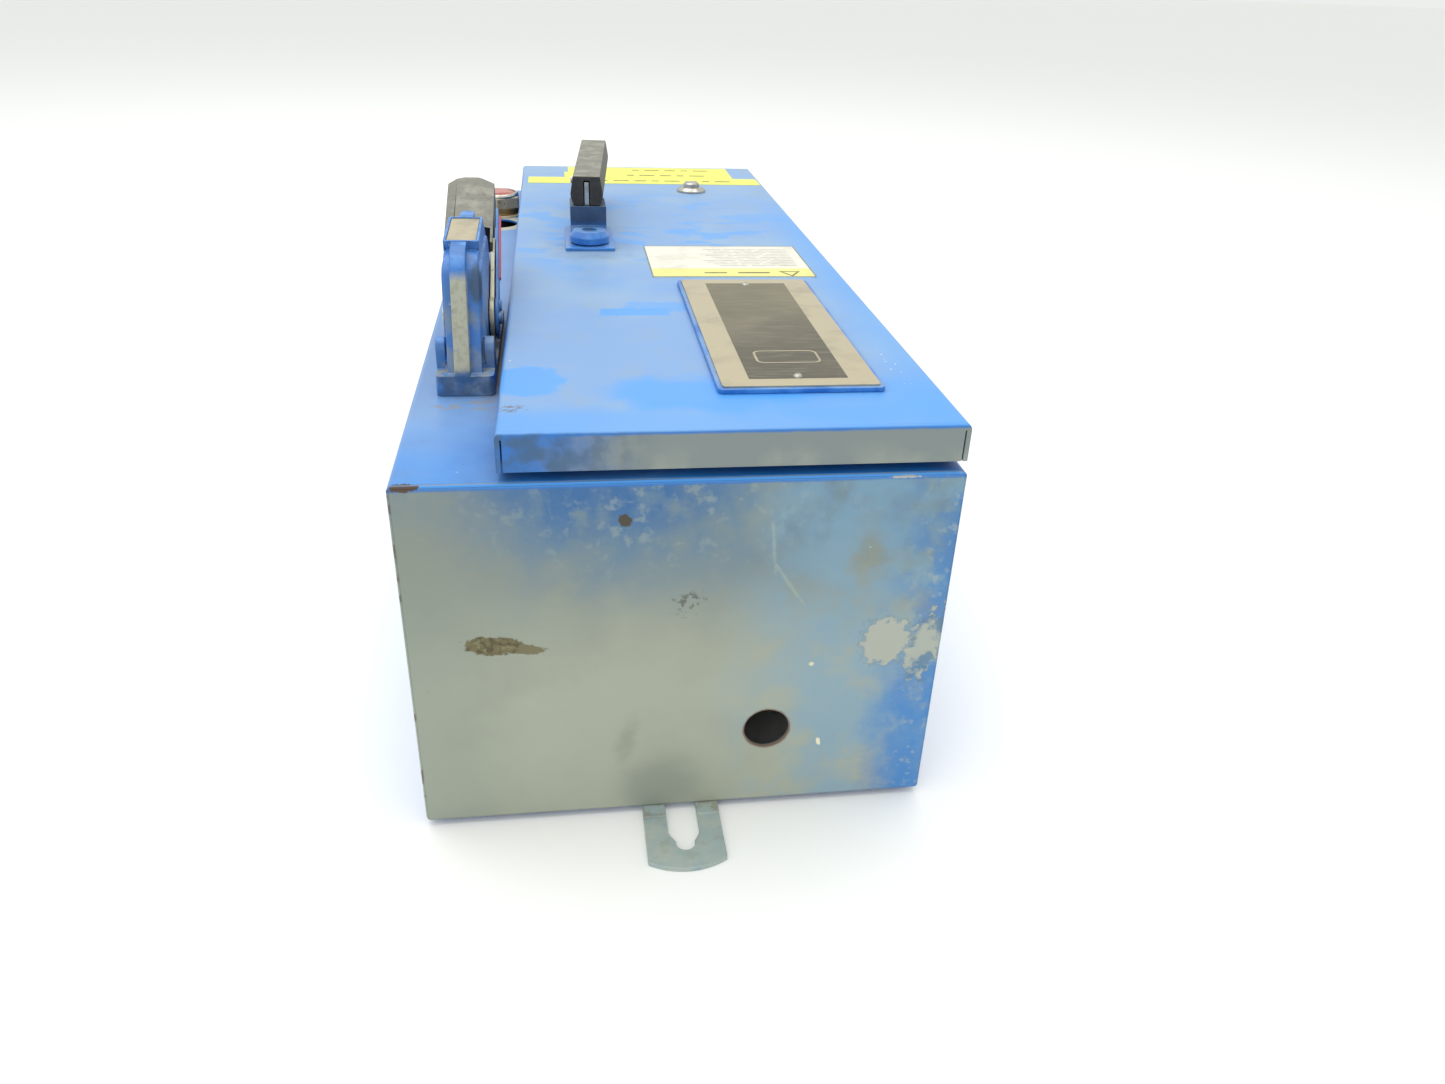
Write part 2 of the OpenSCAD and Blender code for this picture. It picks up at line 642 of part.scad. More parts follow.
// ---- Starter ----
module contactor_base() color("#2a2c30") difference() {
    along_z(floor_z, floor_z + 44) translate([starter_x, 0])
        round_rect(-starter_w / 2, starter_w / 2, contactor_y0, contactor_y1, 3);
    box(starter_x - 20, starter_x + 20, contactor_y0 + 16, contactor_y1 - 16, floor_z + 8, floor_z + 50);
    for (x = [-1, 1], y = [contactor_y0 + 6, contactor_y1 - 6])
        rod_z(floor_z - 1, floor_z + 50, starter_x + x * (starter_w / 2 - 6), y, 2.4);
}

module contactor_coil() color("#7c5a3a") translate([starter_x, (contactor_y0 + contactor_y1) / 2, 0])
    along_z(floor_z + 8, floor_z + 40) difference() {
        round_rect(-17, 17, -19, 19, 5);
        translate([-6, -8]) square([12, 16]);
    }

module contactor_cover() color("#1f2124") difference() {
    along_z(floor_z + 44, floor_z + 82) translate([starter_x, 0])
        round_rect(-starter_w / 2 + 6, starter_w / 2 - 6, contactor_y0 + 12, contactor_y1 - 12, 3);
    box(starter_x - 10 - ease, starter_x + 10 + ease, contactor_y0 + 26 - ease, contactor_y1 - 26 + ease,
        floor_z + 43, floor_z + 90);
    for (i = [-1:1]) box(starter_x + i * 25 - 1.5, starter_x + i * 25 + 1.5,
        contactor_y0, contactor_y0 + 18, floor_z + 50, floor_z + 90);
}

module contactor_crossbar() color("#d8d4c4") union() {
    box(starter_x - 10, starter_x + 10, contactor_y0 + 26, contactor_y1 - 26,
        floor_z + 46 + cross_travel, floor_z + 82 + cross_travel);
}

module contactor_terminals() color("#c8b070")
    for (i = [-1:1], y = [contactor_y0 + 6, contactor_y1 - 6]) {
        box(starter_x + i * 25 - 6, starter_x + i * 25 + 6, y - 5, y + 5, floor_z + 44, floor_z + 46);
        rod_z(floor_z + 46, floor_z + 50, starter_x + i * 25, y, 4);
    }

module relay_body() color("#26282b") difference() {
    union() {
        along_z(floor_z, floor_z + 36) translate([starter_x, 0])
            round_rect(-starter_w / 2, starter_w / 2, relay_y0, relay_y1, 3);
        along_z(floor_z + 36, relay_top) translate([starter_x, 0])
            round_rect(-starter_w / 2 + 4, starter_w / 2 - 4, relay_y0 + 20, relay_y1 - 16, 3);
        // Column that carries the reset pad
        rod_z(relay_top, relay_top + 10, reset_x, reset_y, 8);
    }
    for (i = [-1:1]) box(starter_x + i * 25 - 5, starter_x + i * 25 + 5,
        relay_y0 + 4, relay_y0 + 16, floor_z + 26, floor_z + 40);
}

module relay_heaters() color("#b59a5a")
    for (i = [-1:1]) {
        box(starter_x + i * 25 - 4, starter_x + i * 25 + 4, relay_y0 + 5, relay_y0 + 15, floor_z + 26,
            floor_z + 40);
        rod_z(floor_z + 40, floor_z + 43, starter_x + i * 25, relay_y0 + 10, 3);
    }

module ground_lug() color("#c4c6c4") union() {
    box(handle_x - 8, handle_x + 22, half_l - 62, half_l - 42, floor_z, floor_z + 3);
    lug(handle_x + 6, half_l - 60, half_l - 44, floor_z + 3);
}

// ---- Door ----
module door_block(d) intersection() {
    along_y(-door_y + d, door_y - d) arch(door_x0 + d, door_x1 - d, door_low_z - 2 * d, door_z - d,
        bend_r - d);
    along_x(door_x0 + d, door_x1 - d) arch(-door_y + d, door_y - d, door_low_z - 2 * d, door_z - d,
        bend_r - d);
}

module door_panel() color("#3f7bd0") difference() {
    door_block(0);
    door_block(sheet);
    // Open seams where the end lips meet the side lips
    for (x = [door_x0 + sheet + 0.3, door_x1 - sheet - 0.9])
        box(x, x + 0.6, -door_y - 1, door_y + 1, door_low_z - 1, door_z - bend_r);
    rod_z(door_low_z, door_z + 1, latch_x, latch_y, latch_shaft_r + 1);
    rod_z(door_low_z, door_z + 1, reset_x, reset_y, reset_d / 2 - 3.5);
}

gasket_out = 4;
gasket_in = 6;
gasket_gap = 0.5;
module door_gasket() color("#1c1c1e") difference() {
    box(open_x0 - gasket_out, open_x1 + gasket_out, -open_y - gasket_out, open_y + gasket_out,
        flange_z + rim_lip + gasket_gap, door_z - sheet);
    box(open_x0 + gasket_in, open_x1 - gasket_in, -open_y + gasket_in, open_y - gasket_in, flange_z, door_z);
}

module nameplate_pad() color("#2f6fc4") along_z(door_z, door_z + plate_h)
    translate([plate_x, plate_y]) round_rect(-plate_w / 2, plate_w / 2, -plate_l / 2, plate_l / 2, 3);

plate_margin = 2.2;
plate_t = 0.8;
module nameplate() color("#a8a090") along_z(door_z + plate_h, door_z + plate_h + plate_t)
    translate([plate_x, plate_y]) round_rect(-plate_w / 2 + plate_margin, plate_w / 2 - plate_margin,
        -plate_l / 2 + plate_margin, plate_l / 2 - plate_margin, 2);

module nameplate_rivets() color("#c9c6bc")
    for (s = [-1, 1]) translate([plate_x, plate_y + s * (plate_l / 2 - 13.7), door_z + plate_h + plate_t])
        cylinder(h = 1.1, r1 = 2.4, r2 = 1.5);

module warning_label() color("#e9e7dc") along_z(door_z, door_z + 0.3)
    translate([label_x, label_y]) round_rect(-50.9, 50.9, -38.3, 38.3, 2);

module wide_label() color("#d8dc5a") along_z(door_z, door_z + 0.3) union() {
    translate([door_x0 + 5.7, half_l - 82.2]) square([195.3, 25.7]);
    translate([door_x0 + 36, half_l - 56.6]) square([145, 24]);
    translate([door_x0 + 39.4, half_l - 32.7]) square([141.6, 24]);
}

module latch_plate() color("#2f6fc4") difference() {
    along_z(door_z, door_z + 2) translate([latch_x, latch_y]) round_rect(-16, 16, -16.5, 46.7, 1);
    rod_z(door_z - 1, door_z + 3, latch_x, latch_y, latch_shaft_r + run_fit);
}

module reset_bushing() color("#b9b7ae") translate([reset_x, reset_y, 0]) difference() {
    union() {
        translate([0, 0, door_z]) cylinder(h = 1.4, r = reset_d / 2);
        translate([0, 0, door_z + 1.4]) cylinder(h = 2.2, r1 = reset_d / 2 - 0.4, r2 = knob_d / 2 + 2.2);
        rod_z(door_z - sheet - 8, door_z, 0, 0, reset_d / 2 - 3.7);
        translate([0, 0, door_z - sheet - 4]) cylinder(h = 4, r = reset_d / 2 + 1.5, $fn = 6);
    }
    rod_z(door_z - 20, door_z + 10, 0, 0, knob_d / 2 + run_fit);
}

module reset_knob() color("#8f8d86") union() {
    rod_z(door_z - sheet - 9, door_z + 6.2, reset_x, reset_y, knob_d / 2);
    translate([reset_x, reset_y, door_z + 6.2]) cylinder(h = 1, r1 = knob_d / 2, r2 = knob_d / 2 - 1.4);
    rod_z(relay_top + 10 + reset_travel + 1.5, door_z - sheet - 9, reset_x, reset_y, 3);
}

// ---- Latch handle ----
module latch_arm() color("#2f6fc4") translate([latch_x, latch_y, 0]) difference() {
    union() {
        rod_z(boss_low, boss_top - 3.8, 0, 0, boss_r);
        translate([0, 0, boss_top - 3.8]) cylinder(h = 3.8, r1 = boss_r, r2 = boss_r - 3);
        box(-11.5, 11.5, 6, 30, boss_low, boss_low + 6);
        along_x(-12, 12) polygon([
            [latch_grip_y - 2, boss_low], [latch_grip_y + 14, boss_low], [latch_grip_y + 26,
                latch_grip_z - 0.2],
            [latch_grip_y - 2, latch_grip_z - 0.2]]);
    }
    rod_z(boss_low - 1, boss_top + 1, 0, 0, latch_shaft_r);
}

module latch_frame() translate([latch_x - 0.8, latch_y + latch_grip_y, latch_grip_z])
    rotate([latch_tilt, 0, latch_skew]) children();

module latch_grip() color("#4a4a46") latch_frame() difference() {
    intersection() {
        along_y(0, latch_grip_l) polygon([
            [-latch_grip_w / 2 + 2, 0], [latch_grip_w / 2 - 2, 0], [latch_grip_w / 2, 5.5],
                [latch_grip_w / 2, 8],
            [8.95, latch_grip_h], [-8.95, latch_grip_h], [-latch_grip_w / 2, 8], [-latch_grip_w / 2, 5.5]]);
        along_x(-20, 20) polygon([
            [0, 0], [latch_grip_l, 0], [latch_grip_l, latch_grip_h - 2], [latch_grip_l - 2, latch_grip_h],
            [0.6, latch_grip_h], [0, latch_grip_h - 0.6]]);
    }
    box(-2.1, 2.1, -1, latch_grip_l - 12, -1, latch_grip_h - 3);
}

module latch_tang() color("#9c9c94") union() {
    latch_frame() difference() {
        box(-1.5, 1.5, 0.8, latch_grip_l - 13, 0, latch_grip_h - 4);
        box(-3, 3, -5, latch_grip_l, -5, 0);
    }
    latch_frame() rod_x(-latch_grip_w / 2 - 2, -latch_grip_w / 2, 38, 8.5, 2.4);
}

module latch_shaft() color("#c9cac6") union() {
    rod_z(flange_z - sheet - 9, boss_top - 3, latch_x, latch_y, latch_shaft_r);
    rod_z(boss_top - 3, boss_top - 1.4, latch_x, latch_y, 4.4);
}

module latch_cam() color("#9aa0a4") difference() {
    along_z(flange_z - sheet - 8, flange_z - sheet - 3) translate([latch_x, latch_y]) union() {
        circle(12);
        translate([-8, -cam_reach + 8]) square([16, cam_reach - 8]);
        translate([0, -cam_reach + 8]) circle(8);
    }
    rod_z(flange_z - 30, flange_z + 10, latch_x, latch_y, latch_shaft_r);
}

// ---- Rotor ----
module rotor() translate([0, pivot_y, rotor_z]) {
    color("#c9cac6") {
        rod_x(handle_x + link_x0 - ease, sw_x1 + 3, 0, 0, rotor_r);
        rotate([crank_rest, 0, 0]) {
            rod_x(handle_x + link_x0 + link_t + ease, handle_x + link_x0 + link_t + ease + crank_t, 0, 0, 9);
            rod_x(handle_x + link_x0 + link_t + ease, handle_x + link_x0 + link_t + ease + crank_t,
                crank_l, 0, 6);
            along_x(handle_x + link_x0 + link_t + ease, handle_x + link_x0 + link_t + ease + crank_t)
                polygon([[0, -8], [crank_l, -6], [crank_l, 6], [0, 8]]);
            rod_x(handle_x + link_x0 - ease, handle_x + link_x0 + link_t + ease, crank_l, 0, crank_pin_r);
        }
    }
    color("#3a2c22") for (i = [0:3]) {
        x0 = i == 0 ? sw_x0 + bracket_t + 0.5 : pole_xs[i - 1] + 5;
        x1 = i == 3 ? sw_x1 - bracket_t - 0.5 : pole_xs[i] - 5;
        rod_x(x0, x1, 0, 0, 9.5);
    }
    color("#c07a3c") for (x = pole_xs) rotate([60, 0, 0]) {
        rod_x(x - blade_t / 2, x + blade_t / 2, 0, 0, 12);
        along_x(x - blade_t / 2, x + blade_t / 2) union() {
            translate([0, -7]) square([blade_l - 4, 14]);
            translate([blade_l - 4.1, -3]) square([4, 10]);
        }
    }
}

enclosure_wrap();
front_flange();
top_end_plate();
bottom_end_plate();
top_mounting_tab();
bottom_mounting_tab();
mounting_panel();
panel_studs();
hinge_box_leaves();
hinge_pins();
handle_base();
handle_plate();
handle_screws();
pilot_legend_ring();
pilot_washers();
pilot_ring_nut();
pilot_bezel();
pilot_lens();
pilot_body();
switch_base();
bearing_brackets();
line_jaws();
hinge_clips();
line_lugs();
line_shield();
fuse_base();
fuse_clips();
fuse_tubes();
fuse_caps();
load_lugs();
contactor_base();
contactor_coil();
contactor_cover();
contactor_terminals();
relay_body();
relay_heaters();
ground_lug();
door_panel();
hinge_door_leaves();
door_gasket();
nameplate_pad();
nameplate();
nameplate_rivets();
warning_label();
wide_label();
latch_plate();
reset_bushing();
latch_arm();
latch_grip();
latch_tang();
latch_shaft();
latch_cam();
reset_knob();
lever_yoke();
lever_shaft();
lever_grip();
lever_cover();
connecting_link();
rotor();
contactor_crossbar();
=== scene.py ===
"""Studio scene of a flange-operated disconnect in a wall enclosure, lying on its back.

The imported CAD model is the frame: it gives every place and every joint. Each CAD solid is
finished here as its maker would finish it, with broken edges and a worn surface, and small
pieces such as the printed marks on the labels are added on top.
"""

import json
import logging
import math
from dataclasses import dataclass, field
from enum import Enum
from typing import Dict, List, Optional, Protocol, Sequence, Tuple

import bmesh
import bpy
from mathutils import Matrix, Vector

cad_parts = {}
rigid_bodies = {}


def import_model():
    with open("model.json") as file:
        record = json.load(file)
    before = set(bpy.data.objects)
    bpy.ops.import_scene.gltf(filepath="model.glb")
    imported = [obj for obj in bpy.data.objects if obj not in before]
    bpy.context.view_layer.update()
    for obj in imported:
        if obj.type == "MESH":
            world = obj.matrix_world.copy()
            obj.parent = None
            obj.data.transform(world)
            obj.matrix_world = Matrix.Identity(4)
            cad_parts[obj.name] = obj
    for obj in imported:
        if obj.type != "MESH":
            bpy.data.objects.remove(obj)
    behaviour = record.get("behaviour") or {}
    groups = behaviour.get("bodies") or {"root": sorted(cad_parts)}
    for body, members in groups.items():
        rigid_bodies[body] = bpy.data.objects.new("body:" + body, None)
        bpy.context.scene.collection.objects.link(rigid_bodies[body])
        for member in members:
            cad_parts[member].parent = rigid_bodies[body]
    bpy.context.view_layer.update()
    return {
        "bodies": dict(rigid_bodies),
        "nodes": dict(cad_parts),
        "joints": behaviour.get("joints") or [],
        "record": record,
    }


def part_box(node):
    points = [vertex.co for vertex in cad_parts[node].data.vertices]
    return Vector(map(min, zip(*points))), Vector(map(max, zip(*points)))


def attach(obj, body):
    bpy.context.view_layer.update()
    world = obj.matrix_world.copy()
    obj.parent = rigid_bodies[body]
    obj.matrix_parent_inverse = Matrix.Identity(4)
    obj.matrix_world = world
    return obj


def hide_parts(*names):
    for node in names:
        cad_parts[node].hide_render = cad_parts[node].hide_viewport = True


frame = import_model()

LOG = logging.getLogger("disconnect")
MM = 0.001
# Vertices of a CAD solid closer than this, in millimetres, are one vertex
WELD = 0.002
# Largest angle, in degrees, between two facets of one round face
FACET = 33.0

Socket = bpy.types.NodeSocket
Triple = Tuple[float, float, float]


# ---------------------------------------------------------------------------
# Colours and nodes
# ---------------------------------------------------------------------------


def paint_colour(code: str) -> Tuple[float, float, float, float]:
    """Turn an sRGB hex colour into the linear colour that the shaders take.

    Args:
        code: Six hex digits, with or without a leading #.

    Returns:
        Linear red, green, blue and a full alpha.
    """
    digits = code.lstrip("#")
    parts = [int(digits[i : i + 2], 16) / 255.0 for i in (0, 2, 4)]
    linear = [c / 12.92 if c <= 0.04045 else ((c + 0.055) / 1.055) ** 2.4 for c in parts]
    return (linear[0], linear[1], linear[2], 1.0)


def add_node(
    tree: bpy.types.NodeTree,
    kind: str,
    settings: Optional[Dict[str, object]] = None,
    inputs: Optional[Dict[object, object]] = None,
) -> bpy.types.Node:
    """Add one node with its settings and its links.

    Args:
        tree: The material's node tree.
        kind: The node's type name.
        settings: Attributes set on the node.
        inputs: Values or sockets, by input name or number.

    Returns:
        The new node.
    """
    made = tree.nodes.new(kind)
    for name, value in (settings or {}).items():
        setattr(made, name, value)
    for key, value in (inputs or {}).items():
        if isinstance(value, bpy.types.NodeSocket):
            tree.links.new(value, made.inputs[key])
        else:
            made.inputs[key].default_value = value
    return made


# ---------------------------------------------------------------------------
# Places, from the frame
# ---------------------------------------------------------------------------


class Axis(Enum):
    """An axis of the shared frame."""

    X = 0
    Y = 1
    Z = 2


def lowest(node: str, axis: Axis) -> float:
    """Low side of a CAD node's box along an axis, in millimetres."""
    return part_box(node)[0][axis.value] / MM


def highest(node: str, axis: Axis) -> float:
    """High side of a CAD node's box along an axis, in millimetres."""
    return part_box(node)[1][axis.value] / MM


def middle(node: str) -> Vector:
    """Middle of a CAD node's top face, in millimetres."""
    low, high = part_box(node)
    return Vector(((low.x + high.x) / 2, (low.y + high.y) / 2, high.z)) / MM


# ---------------------------------------------------------------------------
# Masks: where a layer of wear, dirt or print lies, in millimetres on the piece
# ---------------------------------------------------------------------------


class Mask(Protocol):
    """Anything that can say, from 0 to 1, where a layer lies."""

    def draw(self, tree: bpy.types.NodeTree, place: Socket) -> Socket:
        """Add this mask's nodes.

        Args:
            tree: The material's node tree.
            place: Position on the piece in millimetres.

        Returns:
            The mask, 0 to 1.
        """


@dataclass(frozen=True)
class Cloud:
    """Irregular patches, as dust, rubbing and stains leave.

    Attributes:
        size: Width of a patch in millimetres.
        low: Noise value where the patch begins to fade in.
        high: Noise value where it is full.
        detail: Octaves of the noise.
        rough: How strong the finer octaves are.
        stretch: How much longer the patches are along each axis.
        shift: Distance, in patches, that moves the pattern.
    """

    size: float
    low: float = 0.45
    high: float = 0.6
    detail: float = 5.0
    rough: float = 0.55
    stretch: Triple = (1.0, 1.0, 1.0)
    shift: float = 0.0

    def draw(self, tree: bpy.types.NodeTree, place: Socket) -> Socket:
        """Add the patches' nodes.

        Args:
            tree: The material's node tree.
            place: Position on the piece in millimetres.

        Returns:
            The mask, 0 to 1.
        """
        spread = add_node(
            tree,
            "ShaderNodeMapping",
            inputs={
                "Vector": place,
                "Location": (self.shift, self.shift * 0.7, -self.shift),
                "Scale": tuple(1.0 / (self.size * s) for s in self.stretch),
            },
        )
        fractal = add_node(
            tree,
            "ShaderNodeTexNoise",
            inputs={
                "Vector": spread.outputs[0],
                "Scale": 1.0,
                "Detail": self.detail,
                "Roughness": self.rough,
            },
        )
        edge = add_node(
            tree,
            "ShaderNodeMapRange",
            {"interpolation_type": "SMOOTHSTEP"},
            {"Value": fractal.outputs[0], "From Min": self.low, "From Max": self.high},
        )
        return edge.outputs[0]


@dataclass(frozen=True)
class Blot:
    """One spot, smear or chip with a ragged border.

    Attributes:
        centre: Its middle in millimetres.
        radii: Its reach along each axis in millimetres.
        soft: Width of its faded border, as a share of its reach.
        ragged: How far the border wanders, as a share of its reach.
        grain: Width of the wandering in millimetres.
        turn: Turn about Y in degrees.
    """

    centre: Triple
    radii: Triple
    soft: float = 0.15
    ragged: float = 0.6
    grain: float = 6.0
    turn: float = 0.0

    def draw(self, tree: bpy.types.NodeTree, place: Socket) -> Socket:
        """Add the spot's nodes.

        Args:
            tree: The material's node tree.
            place: Position on the piece in millimetres.

        Returns:
            The mask, 0 outside the spot and 1 inside it.
        """
        local = add_node(
            tree,
            "ShaderNodeMapping",
            {"vector_type": "TEXTURE"},
            {
                "Vector": place,
                "Location": self.centre,
                "Rotation": (0.0, math.radians(self.turn), 0.0),
                "Scale": self.radii,
            },
        )
        reach = add_node(tree, "ShaderNodeVectorMath", {"operation": "LENGTH"}, {0: local.outputs[0]})
        fringe = add_node(
            tree,
            "ShaderNodeTexNoise",
            inputs={"Vector": place, "Scale": 1.0 / self.grain, "Detail": 5.0, "Roughness": 0.6},
        )
        wander = add_node(
            tree,
            "ShaderNodeMath",
            {"operation": "MULTIPLY_ADD"},
            {0: fringe.outputs[0], 1: 2.0 * self.ragged, 2: reach.outputs["Value"]},
        )
        edge = add_node(
            tree,
            "ShaderNodeMapRange",
            {"interpolation_type": "SMOOTHSTEP"},
            {
                "Value": wander.outputs[0],
                "From Min": 1.0 + self.ragged + self.soft,
                "From Max": 1.0 + self.ragged - self.soft,
            },
        )
        return edge.outputs[0]


@dataclass(frozen=True)
class Ramp:
    """A change along one axis, from nothing at start to everything at end.

    Attributes:
        axis: The axis that it runs along.
        start: Where it begins, in millimetres.
        end: Where it is full, in millimetres.
        ragged: How far its border wanders, in millimetres.
        grain: Width of the wandering in millimetres.
    """

    axis: Axis
    start: float
    end: float
    ragged: float = 0.0
    grain: float = 12.0

    def draw(self, tree: bpy.types.NodeTree, place: Socket) -> Socket:
        """Add the ramp's nodes.

        Args:
            tree: The material's node tree.
            place: Position on the piece in millimetres.

        Returns:
            The mask, 0 at start and 1 at end.
        """
        parts = add_node(tree, "ShaderNodeSeparateXYZ", inputs={0: place})
        value = parts.outputs[self.axis.value]
        if self.ragged:
            fringe = add_node(
                tree,
                "ShaderNodeTexNoise",
                inputs={"Vector": place, "Scale": 1.0 / self.grain, "Detail": 5.0, "Roughness": 0.6},
            )
            centred = add_node(
                tree, "ShaderNodeMath", {"operation": "SUBTRACT"}, {0: fringe.outputs[0], 1: 0.5}
            )
            value = add_node(
                tree,
                "ShaderNodeMath",
                {"operation": "MULTIPLY_ADD"},
                {0: centred.outputs[0], 1: 2.0 * self.ragged, 2: value},
            ).outputs[0]
        edge = add_node(
            tree,
            "ShaderNodeMapRange",
            {"interpolation_type": "SMOOTHSTEP"},
            {"Value": value, "From Min": self.start, "From Max": self.end},
        )
        return edge.outputs[0]


@dataclass(frozen=True)
class Facing:
    """Faces that look one way, such as the tops that dust settles on, and the upward faces and near sides
    where light and shade are painted.

    Attributes:
        axis: The way that they look.
        start: Part of the normal along the axis where the mask begins.
        end: Part of the normal where it is full.
    """

    axis: Axis
    start: float = 0.5
    end: float = 0.9

    def draw(self, tree: bpy.types.NodeTree, place: Socket) -> Socket:
        """Add the nodes that compare the piece's own normal with the axis.

        Args:
            tree: The material's node tree.
            place: Not used: the normal alone decides.

        Returns:
            The mask, 1 on faces that look along the axis.
        """
        coords = add_node(tree, "ShaderNodeTexCoord")
        parts = add_node(tree, "ShaderNodeSeparateXYZ", inputs={0: coords.outputs["Normal"]})
        edge = add_node(
            tree,
            "ShaderNodeMapRange",
            {"interpolation_type": "SMOOTHSTEP"},
            {"Value": parts.outputs[self.axis.value], "From Min": self.start, "From Max": self.end},
        )
        return edge.outputs[0]


@dataclass(frozen=True)
class Specks:
    """Scattered small dots, such as grit, chips and paint flecks.

    Attributes:
        cell: Spacing of the dots in millimetres.
        radius: Their radius in millimetres.
        share: Share of the places that hold a dot.
        stretch: How much longer the dots are along each axis.
        shift: Distance in millimetres that moves the pattern.
    """

    cell: float
    radius: float
    share: float = 0.3
    stretch: Triple = (1.0, 1.0, 1.0)
    shift: float = 0.0

    def draw(self, tree: bpy.types.NodeTree, place: Socket) -> Socket:
        """Add the dots' nodes.

        Args:
            tree: The material's node tree.
            place: Position on the piece in millimetres.

        Returns:
            The mask, 1 inside each dot.
        """
        spread = add_node(
            tree,
            "ShaderNodeMapping",
            inputs={
                "Vector": place,
                "Location": (self.shift, self.shift, self.shift),
                "Scale": tuple(1.0 / s for s in self.stretch),
            },
        )
        cells = add_node(
            tree, "ShaderNodeTexVoronoi", inputs={"Vector": spread.outputs[0], "Scale": 1.0 / self.cell}
        )
        size = self.radius / self.cell
        dot = add_node(
            tree,
            "ShaderNodeMapRange",
            {"interpolation_type": "SMOOTHSTEP"},
            {"Value": cells.outputs["Distance"], "From Min": size, "From Max": 0.6 * size},
        )
        lot = add_node(tree, "ShaderNodeSeparateColor", inputs={0: cells.outputs["Color"]})
        drawn = add_node(
            tree, "ShaderNodeMath", {"operation": "LESS_THAN"}, {0: lot.outputs[0], 1: self.share}
        )
        both = add_node(
            tree, "ShaderNodeMath", {"operation": "MULTIPLY"}, {0: dot.outputs[0], 1: drawn.outputs[0]}
        )
        return both.outputs[0]


# ---------------------------------------------------------------------------
# Finishes
# ---------------------------------------------------------------------------


@dataclass(frozen=True)
class Layer:
    """One layer over a finish: its colour and where it lies.

    Attributes:
        colour: Its sRGB hex colour.
        masks: It lies where all of these do.
        strength: How much of what is under it it covers.
        rough: Its roughness, or none to keep what is under it.
        metal: Its metallic value, or none to keep what is under it.
        height: Its thickness in millimetres, negative for a pit.
    """

    colour: str
    masks: Tuple[Mask, ...]
    strength: float = 1.0
    rough: Optional[float] = None
    metal: Optional[float] = None
    height: float = 0.0


